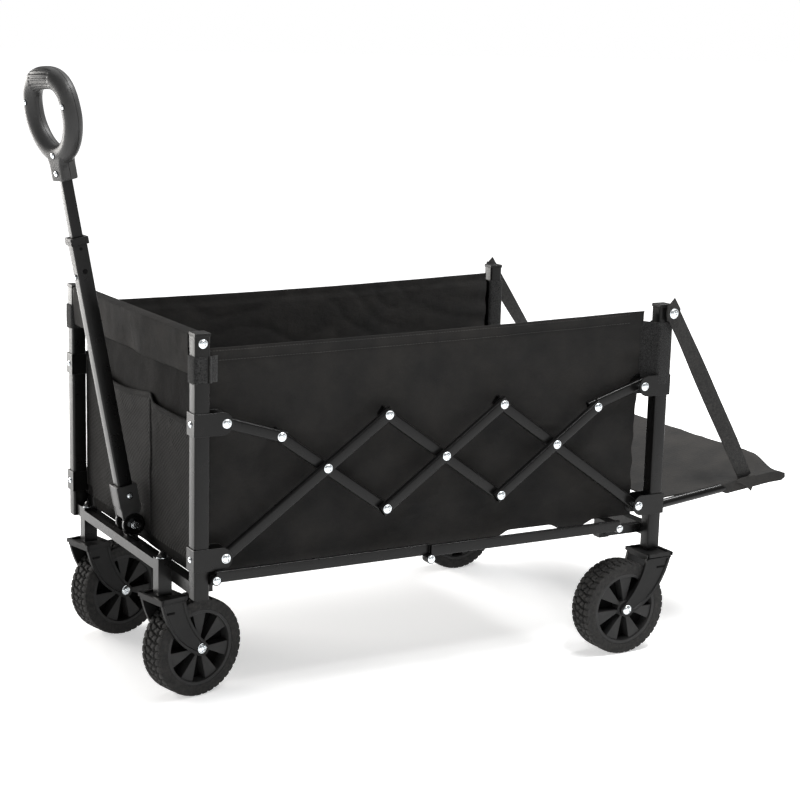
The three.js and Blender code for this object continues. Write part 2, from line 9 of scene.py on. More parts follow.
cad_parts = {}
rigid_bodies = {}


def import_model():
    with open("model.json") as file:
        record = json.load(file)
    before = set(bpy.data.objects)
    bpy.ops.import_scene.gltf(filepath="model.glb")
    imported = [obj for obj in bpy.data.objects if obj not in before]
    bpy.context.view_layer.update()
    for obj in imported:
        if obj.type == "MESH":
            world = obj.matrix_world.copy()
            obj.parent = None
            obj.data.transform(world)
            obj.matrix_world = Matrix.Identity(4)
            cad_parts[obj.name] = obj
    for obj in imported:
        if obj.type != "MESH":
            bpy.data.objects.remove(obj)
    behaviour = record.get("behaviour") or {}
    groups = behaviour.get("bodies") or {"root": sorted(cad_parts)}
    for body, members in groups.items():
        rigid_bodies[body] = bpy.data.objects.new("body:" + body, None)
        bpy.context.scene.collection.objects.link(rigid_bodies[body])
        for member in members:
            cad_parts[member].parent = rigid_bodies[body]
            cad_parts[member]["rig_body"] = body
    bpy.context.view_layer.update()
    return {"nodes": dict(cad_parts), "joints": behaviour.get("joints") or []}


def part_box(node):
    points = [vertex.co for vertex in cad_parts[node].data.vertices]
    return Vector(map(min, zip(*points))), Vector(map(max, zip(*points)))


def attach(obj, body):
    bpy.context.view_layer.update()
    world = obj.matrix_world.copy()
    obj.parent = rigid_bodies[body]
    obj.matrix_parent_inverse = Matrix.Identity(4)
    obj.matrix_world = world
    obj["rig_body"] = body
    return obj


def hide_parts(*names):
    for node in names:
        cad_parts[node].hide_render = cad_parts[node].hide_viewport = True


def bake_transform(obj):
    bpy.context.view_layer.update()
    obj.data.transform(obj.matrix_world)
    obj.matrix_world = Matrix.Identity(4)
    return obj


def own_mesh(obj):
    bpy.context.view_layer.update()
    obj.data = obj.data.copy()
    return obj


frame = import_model()

JOINTS = {joint["name"]: joint for joint in frame["joints"]}
SIDES = (("right", -1), ("left", 1))
X_AXIS = Vector((1, 0, 0))
Y_AXIS = Vector((0, 1, 0))
Z_AXIS = Vector((0, 0, 1))
QUARTER = math.pi / 2


def place(joint):
    """Where a joint is, at rest."""
    return Vector(JOINTS[joint]["pos_m"])


def low(node):
    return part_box(node)[0]


def high(node):
    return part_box(node)[1]


# ---- Main places, read from the imported model, with a few given offsets ----

FRONT_POST = (low("post_front_left") + high("post_front_left")) / 2
POST_HALF = (high("post_front_left").x - low("post_front_left").x) / 2
POST_TOP = high("post_front_left").z
HINGE_BEHIND_POST = 0.02773
REAR_POST_X = place("tailgate_hinge").x - HINGE_BEHIND_POST
WALL_Y = (low("side_wall_left").y + high("side_wall_left").y) / 2
OUTER_FACE = high("link_up_1_left").y
INNER_FACE = low("link_down_1_left").y
EAR_FACE = high("bracket_lower_front_left").y
EAR_BACK = 0.2601
STEM_TOP = high("front_chassis").z - 0.0230
# How far the middle pins of the floor rails sit below the rails' end pins.
PIN_DROP = 0.0088


# ---- Materials ----

class Finish:
    """A material under construction: a Principled shader and the nodes that feed it."""

    def __init__(self, name, roughness, metallic=0.0, specular=0.5, sheen=0.0, coat=0.0):
        self.material = bpy.data.materials.new(name)
        self.material.use_nodes = True
        self.tree = self.material.node_tree
        self.shader = self.tree.nodes["Principled BSDF"]
        self.set(self.shader, "Roughness", roughness)
        self.set(self.shader, "Metallic", metallic)
        self.set(self.shader, "Specular IOR Level", specular)
        self.set(self.shader, "Sheen Weight", sheen)
        self.set(self.shader, "Coat Weight", coat)
        self.point = self.add("ShaderNodeTexCoord").outputs["Object"]
        self.normal = None

    @staticmethod
    def set(node, socket, value):
        node.inputs[socket].default_value = value

    def add(self, kind, **settings):
        node = self.tree.nodes.new(kind)
        for key, value in settings.items():
            setattr(node, key, value)
        return node

    def link(self, output, node, socket):
        self.tree.links.new(output, node.inputs[socket])

    def noise(self, scale, detail=4.0, roughness=0.55, stretch=(1, 1, 1)):
        mapping = self.add("ShaderNodeMapping")
        self.set(mapping, "Scale", stretch)
        self.link(self.point, mapping, "Vector")
        node = self.add("ShaderNodeTexNoise")
        self.set(node, "Scale", scale)
        self.set(node, "Detail", detail)
        self.set(node, "Roughness", roughness)
        self.link(mapping.outputs["Vector"], node, "Vector")
        return node.outputs["Fac"]

    def bands(self, scale, turn=(0, 0, 0), profile="SIN", distortion=0.0):
        mapping = self.add("ShaderNodeMapping")
        self.set(mapping, "Rotation", turn)
        self.link(self.point, mapping, "Vector")
        node = self.add("ShaderNodeTexWave", bands_direction="X", wave_profile=profile)
        self.set(node, "Scale", scale)
        self.set(node, "Distortion", distortion)
        self.link(mapping.outputs["Vector"], node, "Vector")
        return node.outputs["Fac"]

    def ramp(self, value, stops):
        node = self.add("ShaderNodeValToRGB")
        while len(node.color_ramp.elements) < len(stops):
            node.color_ramp.elements.new(0.5)
        for element, (position, color) in zip(node.color_ramp.elements, stops):
            element.position = position
            element.color = (*color, 1)
        self.link(value, node, "Fac")
        return node.outputs["Color"]

    def math(self, operation, a, b):
        node = self.add("ShaderNodeMath", operation=operation)
        for index, value in enumerate((a, b)):
            if isinstance(value, (int, float)):
                node.inputs[index].default_value = value
            else:
                self.tree.links.new(value, node.inputs[index])
        return node.outputs[0]

    def color(self, value, stops):
        self.link(self.ramp(value, stops), self.shader, "Base Color")

    def greys(self, value, low_end, dark, high_end, light, warm=0.0):
        """From a dark grey at low_end to a lighter, slightly warm one at high_end."""
        self.color(value, [(low_end, grey(dark)), (high_end, grey(light, warm))])

    def roughness(self, value, start, end):
        node = self.add("ShaderNodeMapRange")
        self.set(node, "To Min", start)
        self.set(node, "To Max", end)
        self.link(value, node, "Value")
        self.link(node.outputs["Result"], self.shader, "Roughness")

    def bump(self, height, strength, distance):
        node = self.add("ShaderNodeBump")
        self.set(node, "Strength", strength)
        self.set(node, "Distance", distance)
        self.link(height, node, "Height")
        if self.normal is not None:
            self.link(self.normal, node, "Normal")
        self.normal = node.outputs["Normal"]
        self.link(self.normal, self.shader, "Normal")


def grey(value, warm=0.0):
    return (value * (1 + warm), value, value * (1 - warm))


def powder_coat():
    made = Finish("powder_coat", 0.30, specular=0.22)
    cloud = made.noise(9, 5)
    made.greys(cloud, 0.3, 0.0032, 0.7, 0.0052, 0.03)
    made.roughness(made.noise(45, 6), 0.22, 0.36)
    made.bump(made.noise(900, 3), 0.14, 0.0004)
    made.bump(made.noise(60, 2), 0.10, 0.0008)
    return made.material


def canvas(name, dark, light, sheen=0.02, thread=0.0016):
    """Woven polyester: a plain weave of fine threads over soft clouds and creases."""
    made = Finish(name, 0.86, specular=0.04, sheen=sheen)
    made.set(made.shader, "Sheen Roughness", 0.5)
    scale = 1 / thread / 3.14
    across = made.bands(scale, (0, 0, 0))
    upright = made.bands(scale, (0, QUARTER, 0))
    sideways = made.bands(scale, (0, 0, QUARTER))
    weave = made.math("MULTIPLY", made.math("ADD", across, sideways), upright)
    cloud = made.noise(14, 6, 0.6)
    speck = made.noise(700, 2)
    mix = made.math("ADD", made.math("MULTIPLY", cloud, 0.7), made.math("MULTIPLY", speck, 0.3))
    made.greys(mix, 0.36, dark, 0.64, light, 0.05)
    made.roughness(made.noise(30, 4), 0.74, 0.94)
    made.bump(weave, 0.35, 0.0005)
    made.bump(speck, 0.30, 0.0004)
    made.bump(made.noise(22, 5, 0.62, (1.0, 1.0, 1.5)), 0.40, 0.006)
    return made.material


def pocket_net():
    """Warp-knit net: fine diagonal ribs with darker gaps."""
    made = Finish("pocket_net", 0.8, specular=0.04, sheen=0.0)
    ribs = made.bands(58, (QUARTER / 2, 0, QUARTER))
    rungs = made.bands(120, (-QUARTER / 2, 0, QUARTER))
    net = made.math("MULTIPLY", ribs, made.math("ADD", made.math("MULTIPLY", rungs, 0.35), 0.65))
    made.greys(net, 0.25, 0.0010, 0.62, 0.030, 0.03)
    made.roughness(made.noise(40, 4), 0.65, 0.85)
    made.bump(net, 0.6, 0.0012)
    return made.material


def hook_pile():
    """Fuzzy hook-and-loop tape."""
    made = Finish("hook_pile", 0.95, specular=0.08, sheen=0.06)
    fuzz = made.noise(520, 6, 0.75)
    made.greys(fuzz, 0.38, 0.005, 0.66, 0.048)
    made.roughness(fuzz, 0.85, 1.0)
    made.bump(fuzz, 0.9, 0.0016)
    made.bump(made.noise(130, 3), 0.4, 0.0015)
    return made.material


def strap_web():
    """Flat woven strap: fine ribs across it and a faint long grain."""
    made = Finish("strap_web", 0.72, specular=0.12, sheen=0.04)
    ribs = made.bands(230, (0, math.radians(-53), 0))
    made.greys(made.noise(260, 4), 0.35, 0.018, 0.7, 0.034, 0.04)
    made.roughness(made.noise(60, 3), 0.6, 0.8)
    made.bump(ribs, 0.5, 0.0005)
    return made.material


def moulded(name, dark, light, rough_low, rough_high, specular=0.16):
    """Moulded plastic with a fine spark-eroded grain and soft flow marks."""
    made = Finish(name, 0.5, specular=specular)
    made.greys(made.noise(18, 4), 0.35, dark, 0.65, light, 0.01)
    made.roughness(made.noise(80, 5), rough_low, rough_high)
    made.bump(made.noise(1300, 3), 0.22, 0.0003)
    made.bump(made.noise(40, 3), 0.08, 0.001)
    return made.material


def tread_rubber():
    made = Finish("tread_rubber", 0.8, specular=0.14)
    dust = made.noise(160, 6, 0.7)
    made.greys(dust, 0.40, 0.018, 0.66, 0.032, 0.05)
    made.roughness(made.noise(70, 4), 0.55, 0.9)
    made.bump(made.noise(800, 4), 0.4, 0.0006)
    return made.material


def zinc_plate():
    made = Finish("zinc_plate", 0.25, metallic=1.0)
    made.color(made.noise(160, 4), [(0.3, (0.82, 0.87, 0.90)), (0.7, (0.93, 0.96, 0.98))])
    made.roughness(made.noise(420, 4), 0.20, 0.32)
    return made.material


def painted_pit_shade():
    """Painted shade: a near-black that stands for the shade inside holes, slots and recesses."""
    made = Finish("painted_pit_shade", 0.9, specular=0.1)
    made.greys(made.noise(50, 2), 0.3, 0.002, 0.7, 0.004)
    return made.material


STEEL = powder_coat()
CANVAS = canvas("wall_canvas", 0.0150, 0.0225)
# Painted shade: the front panel and the top sleeve get darker copies of the wall's canvas, for the shade on
# them.
SHADED_FRONT_CANVAS = canvas("shaded_front_canvas", 0.0060, 0.0100, 0.0)
SHADED_SLEEVE_CANVAS = canvas("shaded_sleeve_canvas", 0.0135, 0.0210, 0.0)
# Painted light: the tailgate gets a lighter copy of the canvas, for the light on its top.
LIT_GATE_CANVAS = canvas("lit_gate_canvas", 0.026, 0.037, 0.01)
THREAD = canvas("thread", 0.035, 0.060, 0.03)
HEM = canvas("hem_tape", 0.006, 0.011, 0.03, 0.0022)
NET = pocket_net()
PILE = hook_pile()
WEB = strap_web()
BLACK_PLASTIC = moulded("black_plastic", 0.008, 0.012, 0.34, 0.46)
WHEEL_PLASTIC = moulded("wheel_plastic", 0.022, 0.029, 0.42, 0.58)
GREY_PLASTIC = moulded("grey_plastic", 0.028, 0.038, 0.34, 0.46, 0.26)
RUBBER = tread_rubber()
ZINC = zinc_plate()
# Painted shade for the inside of holes, slots and wells.
PIT_SHADE = painted_pit_shade()
GLOSS = moulded("gloss_black", 0.004, 0.006, 0.10, 0.18, 0.28)


# ---- Mesh helpers ----

def finish_mesh(name, bm, material, smooth_angle=38):
    """A shaded object made from a bmesh."""
    bmesh.ops.recalc_face_normals(bm, faces=bm.faces)
    mesh = bpy.data.meshes.new(name)
    bm.to_mesh(mesh)
    bm.free()
    mesh.materials.append(material)
    mesh.shade_smooth()
    mesh.set_sharp_from_angle(angle=math.radians(smooth_angle))
    obj = bpy.data.objects.new(name, mesh)
    bpy.context.scene.collection.objects.link(obj)
    return obj


def settle(obj):
    """Applies every modifier on an object."""
    bpy.context.view_layer.update()
    graph = bpy.context.evaluated_depsgraph_get()
    mesh = bpy.data.meshes.new_from_object(obj.evaluated_get(graph))
    obj.modifiers.clear()
    old = obj.data
    obj.data = mesh
    bpy.data.meshes.remove(old)
    return obj


def rounded(obj, width, segments=2, angle=32):
    """Rounds an object's sharp edges."""
    bevel = obj.modifiers.new("round", "BEVEL")
    bevel.width = width
    bevel.segments = segments
    bevel.limit_method = "ANGLE"
    bevel.angle_limit = math.radians(angle)
    bevel.harden_normals = True
    return settle(obj)


def add_piece(name, bm, material, body, replaces=(), smooth=38, round_by=0.0):
    """Finishes a mesh, rounds it if asked, and hangs it on its body."""
    obj = finish_mesh(name, bm, material, smooth)
    if round_by:
        rounded(obj, round_by)
    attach(obj, body)
    if replaces:
        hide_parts(*replaces)
    return obj


def weld(bm, distance=1e-6):
    bmesh.ops.remove_doubles(bm, verts=bm.verts, dist=distance)


def skin(bm, rows, wrap_rows=False, wrap_points=False):
    """Quads between rows of points. Returns the rows of new vertices."""
    made = [[bm.verts.new(point) for point in row] for row in rows]
    count = len(made)
    width = len(made[0])
    for i in range(count if wrap_rows else count - 1):
        for j in range(width if wrap_points else width - 1):
            a, b = made[i], made[(i + 1) % count]
            k = (j + 1) % width
            bm.faces.new((a[j], a[k], b[k], b[j]))
    return made


def grid_of(columns, rows, point_at):
    """Rows of points: point_at(share along, share across) at every crossing of a grid."""
    return [[point_at(i / columns, j / rows) for j in range(rows + 1)] for i in range(columns + 1)]


def ring(count):
    """Angles all the way round."""
    return [math.tau * k / count for k in range(count)]


def tube(bm, rows):
    """A closed tube through rings of points, with a flat face on each end."""
    made = skin(bm, rows, wrap_points=True)
    bm.faces.new(made[0])
    bm.faces.new(list(reversed(made[-1])))


def prism(bm, outline, depth_low, depth_high, lift):
    """A closed prism: outline points (u, v) between two depths, put in space by lift(u, v, depth)."""
    near = [bm.verts.new(lift(u, v, depth_low)) for u, v in outline]
    far = [bm.verts.new(lift(u, v, depth_high)) for u, v in outline]
    bm.faces.new(near)
    bm.faces.new(list(reversed(far)))
    for i in range(len(outline)):
        k = (i + 1) % len(outline)
        bm.faces.new((near[i], near[k], far[k], far[i]))


def block(bm, lowest, highest, matrix=Matrix.Identity(4)):
    """An upright box between two corners."""
    size = Vector(highest) - Vector(lowest)
    middle = (Vector(highest) + Vector(lowest)) / 2
    shape = matrix @ Matrix.Translation(middle) @ Matrix.Diagonal((*size, 1))
    bmesh.ops.create_cube(bm, size=1, matrix=shape)


def turned(bm, profile, matrix, steps=24):
    """A solid of revolution about matrix's Z: profile points (radius, height) from axis to axis."""
    rows = [
        [matrix @ Vector((radius * math.cos(a), radius * math.sin(a), height)) for a in ring(steps)]
        for radius, height in profile
    ]
    skin(bm, rows, wrap_points=True)
    weld(bm)


def disc(bm, radius, bottom, top, matrix, steps=24):
    """A flat cylinder about matrix's Z."""
    turned(bm, [(0, bottom), (radius, bottom), (radius, top), (0, top)], matrix, steps)


def lifted(matrix):
    """Puts prism points in a matrix's own frame, with the prism's depth along its Y."""
    return lambda u, v, d: matrix @ Vector((u, d, v))


def frame_on(point, axis, up=Z_AXIS):
    """A matrix at point whose Z runs along axis and whose X is as near up as it can be."""
    z = Vector(axis).normalized()
    x = Vector(up) - z * z.dot(up)
    if x.length < 1e-6:
        x = X_AXIS - z * z.dot(X_AXIS)
    x.normalize()
    y = z.cross(x)
    return Matrix((
        (x.x, y.x, z.x, point[0]),
        (x.y, y.y, z.y, point[1]),
        (x.z, y.z, z.z, point[2]),
        (0, 0, 0, 1),
    ))


def arc(cx, cy, radius, start, end, steps):
    """Points on an arc, angles in degrees."""
    angles = [math.radians(start + (end - start) * i / steps) for i in range(steps + 1)]
    return [(cx + radius * math.cos(a), cy + radius * math.sin(a)) for a in angles]


def bezier(p0, p1, p2, steps):
    """Points on a quadratic curve, without its first one."""
    points = []
    for t in [i / steps for i in range(1, steps + 1)]:
        mixed = [(1 - t) ** 2 * a + 2 * t * (1 - t) * b + t * t * c for a, b, c in zip(p0, p1, p2)]
        points.append(tuple(mixed))
    return points


def smooth_step(value):
    value = max(0.0, min(1.0, value))
    return value * value * (3 - 2 * value)


# ---- Steel that keeps its CAD shape, with its edges rounded ----

def softened(node, material, width=0.0008, smooth=38):
    """Stands for a CAD node: the same solid with flat faces merged and rounded edges."""
    bm = bmesh.new()
    bm.from_mesh(frame["nodes"][node].data)
    weld(bm, 2e-6)
    bmesh.ops.dissolve_limit(bm, angle_limit=math.radians(0.6), verts=bm.verts, edges=bm.edges)
    body = frame["nodes"][node]["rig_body"]
    add_piece(f"v_{node}", bm, material, body, [node], smooth, width)


STEEL_NODES = ["front_top_rail", "front_chassis", "rear_chassis", "handle_outer_tube", "handle_inner_tube"]
for side, _ in SIDES:
    STEEL_NODES += [f"post_front_{side}", f"bracket_upper_front_{side}", f"bracket_lower_front_{side}"]
    STEEL_NODES += [f"post_rear_{side}", f"rail_front_half_{side}", f"rail_rear_half_{side}"]
    for link in ("short_front", "down_1", "up_1", "down_2", "up_2", "down_3", "up_3", "short_rear"):
        STEEL_NODES.append(f"link_{link}_{side}")
for node in STEEL_NODES:
    softened(node, STEEL)


# ---- Rivets ----

def rivet(bm, point, outward, radius=0.0066, height=0.0026):
    """A domed head with a cross recess, on a thin washer."""
    matrix = frame_on(point, outward, Vector((0.6, 0.2, 0.77)))
    turned(bm, [(0, 0), (radius * 1.12, 0), (radius * 1.12, 0.0005), (radius, 0.0006), (0, 0.0006)], matrix, 20)
    rings, steps = 9, 32
    slot_half, slot_reach = radius * 0.14, radius * 0.56
    rows = []
    for i in range(rings + 1):
        row = []
        for angle in ring(steps):
            r = radius * math.sin(0.5 * math.pi * i / rings)
            x, y = r * math.cos(angle), r * math.sin(angle)
            z = 0.0005 + height * math.sqrt(max(0.0, 1 - (r / radius) ** 2))
            narrow = min(abs(x), abs(y))
            if max(abs(x), abs(y)) < slot_reach and narrow < slot_half:
                z -= height * 0.55
            row.append(matrix @ Vector((x, y, z)))
        rows.append(row)
    skin(bm, rows, wrap_points=True)


def shank(bm, x, z, sign, inner, outer, radius=0.0038):
    """The rivet's body through both links and its flat tail on the inside."""
    matrix = frame_on(Vector((x, sign * inner, z)), Vector((0, sign, 0)))
    tail = 0.0016
    profile = [(0, -tail), (radius * 1.5, -tail), (radius * 1.5, 0), (radius, 0)]
    turned(bm, profile + [(radius, outer - inner), (0, outer - inner)], matrix, 16)


P1 = place("link_down_1_pivot")
TOP_1 = place("link_down_2_pivot")
TOP_2 = place("link_down_3_pivot")
BOTTOM_1 = place("link_up_2_pivot")
BOTTOM_2 = place("link_up_3_pivot")
STEP = TOP_1 - P1
# Length of a short link as a share of the lattice's step.
SHORT_SHARE = 0.7511
FRONT_MEET = P1 + Vector((-STEP.x, 0, STEP.z)) * SHORT_SHARE
REAR_MEET = P1 + Vector((4 * STEP.x, 0, 0)) + STEP * SHORT_SHARE
CROSS_2 = (BOTTOM_1 + TOP_2) / 2
CROSS_3 = P1 + Vector((4 * STEP.x, 0, 0))

LATTICE_RIVETS = {
    "link_up_1": [P1, TOP_1],
    "link_short_front": [FRONT_MEET],
    "link_up_2": [BOTTOM_1, CROSS_2, TOP_2],
    "link_up_3": [BOTTOM_2, CROSS_3, REAR_MEET],
}
BRACKET_RIVETS = {
    "front_frame": [place("fold"), place("link_short_front_pivot")],
    "rear_frame": [place("rear_frame_pivot"), place("link_short_rear_pivot")],
}


def lattice_rivets():
    groups = ((LATTICE_RIVETS, OUTER_FACE, INNER_FACE), (BRACKET_RIVETS, EAR_FACE, EAR_BACK))
    for spots, face, inner in groups:
        for body, points in spots.items():
            bm = bmesh.new()
            for point in points:
                for _, sign in SIDES:
                    rivet(bm, (point.x, sign * face, point.z), (0, sign, 0))
                    shank(bm, point.x, point.z, sign, inner, face)
            add_piece(f"rivets_{body}", bm, ZINC, body)


lattice_rivets()

# ---- Small fasteners ----

def screw_spots():
    """Screws on the brackets' front faces, post tops, rail ends and middle pins, by body."""
    rail_front = place("front_rails_pivot")
    rail_rear = place("rear_rails_pivot")
    pin_x = (rail_front.x + rail_rear.x) / 2
    pin_z = rail_front.z - PIN_DROP
    front_face = low("bracket_lower_front_left").x
    spots = {"front_frame": [], "front_rails": [], "rear_rails": []}
    for _, sign in SIDES:
        out = Vector((0, sign, 0))
        for joint in ("fold", "link_short_front_pivot"):
            spot = Vector((front_face, sign * FRONT_POST.y, place(joint).z))
            spots["front_frame"].append((spot, -X_AXIS, 0.0044))
        top = Vector((FRONT_POST.x, sign * (FRONT_POST.y + POST_HALF), POST_TOP - 0.014))
        spots["front_frame"].append((top, out, 0.0064))
        for body, half, x, z, size in (
            ("front_rails", "front", rail_front.x, rail_front.z, 0.0056),
            ("rear_rails", "rear", rail_rear.x, rail_rear.z, 0.0056),
            ("rear_rails", "rear", pin_x, pin_z, 0.0058),
        ):
            face = sign * high(f"rail_{half}_half_left").y
            spots[body].append((Vector((x, face, z)), out, size))
    return spots


for body, spots in screw_spots().items():
    screws = bmesh.new()
    for spot, outward, size in spots:
        rivet(screws, spot, outward, size)
    add_piece(f"screws_{body}", screws, ZINC, body)


def post_caps():
    reach = POST_HALF + 0.0006
    for body, x in (("front_frame", FRONT_POST.x), ("rear_frame", REAR_POST_X)):
        bm = bmesh.new()
        for _, sign in SIDES:
            y = sign * FRONT_POST.y
            corner = Vector((reach, reach, 0))
            middle = Vector((x, y, POST_TOP))
            block(bm, middle - corner - Z_AXIS * 0.004, middle + corner + Z_AXIS * 0.0022)
        add_piece(f"post_caps_{body}", bm, BLACK_PLASTIC, body, round_by=0.0016)


def stem_nuts():
    """Washer and cap nut on top of each caster stem."""
    nuts, washers = bmesh.new(), bmesh.new()
    dome = [
        (0, 0.0105), (0.0022, 0.0101), (0.0042, 0.0088), (0.0054, 0.0066),
        (0.0058, 0.0048), (0.0058, 0.001), (0, 0.001),
    ]
    for side, _ in SIDES:
        spot = place(f"caster_swivel_{side}")
        top = Matrix.Translation((spot.x, spot.y, STEM_TOP))
        turned(nuts, dome, top, 20)
        disc(nuts, 0.0078, 0.005, 0.001, top, 6)
        disc(washers, 0.0096, 0.0012, 0, top, 28)
    add_piece("stem_cap_nuts", nuts, STEEL, "front_frame", smooth=50)
    add_piece("stem_washers", washers, ZINC, "front_frame")


post_caps()
stem_nuts()


# ---- Wheels and forks ----

TYRE_R = 0.082
TYRE_HALF = 0.024
TYRE_INNER = 0.0635
LUG_REPEATS = 40
LUG_DEPTH = 0.0034
SPOKES = 7


def axle_frame(joint, turn=0.0):
    """At the wheel's middle: X forward along the fork, Y along the axle, Z up."""
    axis = Vector(JOINTS[joint]["axis"])
    angle = math.atan2(-axis.x, axis.y)
    return Matrix.Translation(place(joint)) @ Matrix.Rotation(angle + turn, 4, "Z")


def lug_height(angle, across):
    """How much of a lug stands at this place on the tread, 0 to 1. across runs from -1 to 1."""
    turn = angle * LUG_REPEATS / (2 * math.pi)
    zigzag = 4 * abs((turn % 1) - 0.5) - 1
    tread = 1.0
    for line, sway in ((0.0, 0.11), (0.50, -0.08), (-0.50, 0.08)):
        tread *= smooth_step((abs(across - line - sway * zigzag) - 0.035) / 0.05)
    band = 0.25 if abs(across) < 0.5 else 0.0
    lean = 0.5 * across if abs(across) < 0.5 else 0.22 * abs(across)
    gap = abs(((turn + lean + band) % 1) - 0.5)
    return tread * smooth_step((gap - 0.055) / 0.09)


def tyre_rows():
    """Rings across the tyre: lugs over the tread, then down both walls to the rim."""
    around, across = 400, 28
    wall = ((0.0782, 0.999), (0.0774, 1.0), (0.0660, 1.0), (TYRE_INNER, 0.992))
    sides = [(r, y * TYRE_HALF) for r, y in wall] + [(r, -y * TYRE_HALF) for r, y in reversed(wall)]
    rows = []
    for angle in ring(around):
        row = []
        for j in range(across + 1):
            v = -1 + 2 * j / across
            shoulder = max(0.0, abs(v) - 0.72) / 0.28
            radius = TYRE_R - 0.0014 * shoulder ** 2
            radius -= LUG_DEPTH * (1 - lug_height(angle, v)) * (1 - 0.45 * shoulder)
            row.append((radius, v * (TYRE_HALF - 0.0002)))
        rows.append([(r * math.cos(angle), y, r * math.sin(angle)) for r, y in row + sides])
    return rows


def mirrored(profile):
    """A profile (radius, height) followed by its own mirror image, top to bottom."""
    return profile + [(radius, -height) for radius, height in reversed(profile)]


def wheel_pieces(name, joint, body):
    matrix = axle_frame(joint)
    tread = bmesh.new()
    skin(tread, [[matrix @ Vector(p) for p in row] for row in tyre_rows()], True, True)
    add_piece(f"tread_{name}", tread, RUBBER, body, [f"tyre_{name}"], 44)
    hub, wells = bmesh.new(), bmesh.new()
    axle = matrix @ frame_on((0, 0, 0), Y_AXIS)
    edge = mirrored([(0.0568, -0.019), (0.0576, -0.0232), (0.0634, -0.0236)])
    turned(hub, edge + [edge[0]], axle, 96)
    disc(hub, 0.0572, -0.003, 0.003, axle, 72)
    turned(hub, mirrored([(0, -0.0225), (0.0128, -0.0225), (0.0142, -0.021)]), axle, 36)
    # Painted shade: a near-black sheet over the hub's web between the spokes stands for the shade in the wells.
    well = mirrored([(0.0140, -0.0032), (0.0570, -0.0032)])
    turned(wells, well + [well[0]], axle, 72)
    add_piece(f"wheel_well_shade_{name}", wells, PIT_SHADE, body)
    pitch = math.tau / SPOKES
    for k in range(SPOKES):
        middle = math.pi / 2 + k * pitch
        root = [middle - pitch * 0.17, middle, middle + pitch * 0.17]
        tip = [middle + pitch * 0.25 * t / 4 for t in range(4, -5, -1)]
        spoke = [(0.0125 * math.cos(a), 0.0125 * math.sin(a)) for a in root]
        spoke += [(0.0572 * math.cos(a), 0.0572 * math.sin(a)) for a in tip]
        prism(hub, spoke, -0.0205, 0.0205, lifted(matrix))
    add_piece(f"wheel_{name}", hub, WHEEL_PLASTIC, body, [f"rim_{name}"], 34, 0.0007)


FORK_GAP = 0.0252
FORK_THICK = 0.005
FORK_REACH = FORK_GAP + FORK_THICK
FOOT_R = 0.0130


def fork_outline(top_far, top_near, top_z):
    """Side view of one arm: from its wide top, ahead of the axle, to its round foot."""
    end = FOOT_R
    points = [(top_far, top_z)]
    points += bezier((top_far, top_z), (top_far * 0.80, top_z * 0.20), (-end * 0.82, -end * 0.57), 14)
    points += arc(0, 0, end, 215, 370, 14)
    points += bezier((end * 0.985, end * 0.17), (top_near * 0.80, top_z * 0.46), (top_near, top_z), 14)
    return points


def fork_pieces(name, joint, body, turn, top_far, top_near):
    """Two arms with a sunk face each, a lipped top plate, near-black strips of painted shade where the slots
    are, and axle bolt heads.
    """
    matrix = axle_frame(joint, turn)
    top_z = high(f"fork_{name}").z - place(joint).z - 0.006
    bm = bmesh.new()
    outline = fork_outline(top_far, top_near, top_z)
    for sign in (-1, 1):
        prism(bm, outline, sign * FORK_GAP, sign * FORK_REACH, lifted(matrix))
    to_fork = matrix.inverted()
    outside = [
        face for face in bm.faces
        if len(face.verts) == len(outline) and abs((to_fork @ face.calc_center_median()).y) > 0.0289
    ]
    bmesh.ops.recalc_face_normals(bm, faces=bm.faces)
    bmesh.ops.inset_region(bm, faces=outside, thickness=0.0042, depth=0.0)
    bmesh.ops.inset_region(bm, faces=outside, thickness=0.0014, depth=-0.0021)
    block(bm, (top_far, -FORK_REACH, top_z - 0.005), (top_near, FORK_REACH, top_z + 0.0030), matrix)
    lip, over = 0.0032, 0.0022
    edge = FORK_REACH + over
    for x0, x1, y0, y1 in (
        (top_far - over, top_far + lip, -edge, edge),
        (top_near - lip, top_near + over, -edge, edge),
        (top_far, top_near, -edge, -FORK_REACH + lip),
        (top_far, top_near, FORK_REACH - lip, edge),
    ):
        block(bm, (x0, y0, top_z - 0.0005), (x1, y1, top_z + 0.0060), matrix)
    add_piece(f"v_fork_{name}", bm, BLACK_PLASTIC, body, [f"fork_{name}"], 34, 0.0011)
    slots, bolts = bmesh.new(), bmesh.new()
    x = top_far * 0.62 + top_near * 0.38
    for sign in (-1, 1):
        # Painted shade: a thin near-black block on each arm's sunk face stands for a slot.
        y0, y1 = sorted(sign * (FORK_REACH - depth) for depth in (0.0019, 0.0016))
        block(slots, (x - 0.009, y0, top_z - 0.0215), (x + 0.009, y1, top_z - 0.0180), matrix)
        out = matrix.to_3x3() @ Vector((0, sign, 0))
        rivet(bolts, matrix @ Vector((0, sign * (FORK_REACH - 0.0012), 0)), out, 0.0076, 0.0036)
    add_piece(f"fork_slot_shade_{name}", slots, PIT_SHADE, body)
    add_piece(f"axle_bolt_{name}", bolts, ZINC, body)


def running_gear():
    """Casters trail behind their stems. The rear forks lean forward from the rear posts."""
    trail = 0.058
    for side, _ in SIDES:
        ahead = place(f"wheel_spin_rear_{side}").x - REAR_POST_X
        for end, body, turn, far, near in (
            ("front", f"caster_{side}", 0.0, -trail - 0.022, -trail + 0.024),
            ("rear", "rear_frame", math.pi, ahead - 0.020, ahead + 0.032),
        ):
            name = f"{end}_{side}"
            wheel_pieces(name, f"wheel_spin_{name}", f"wheel_{name}")
            fork_pieces(name, f"wheel_spin_{name}", body, turn, far, near)


running_gear()


# ---- Side walls ----

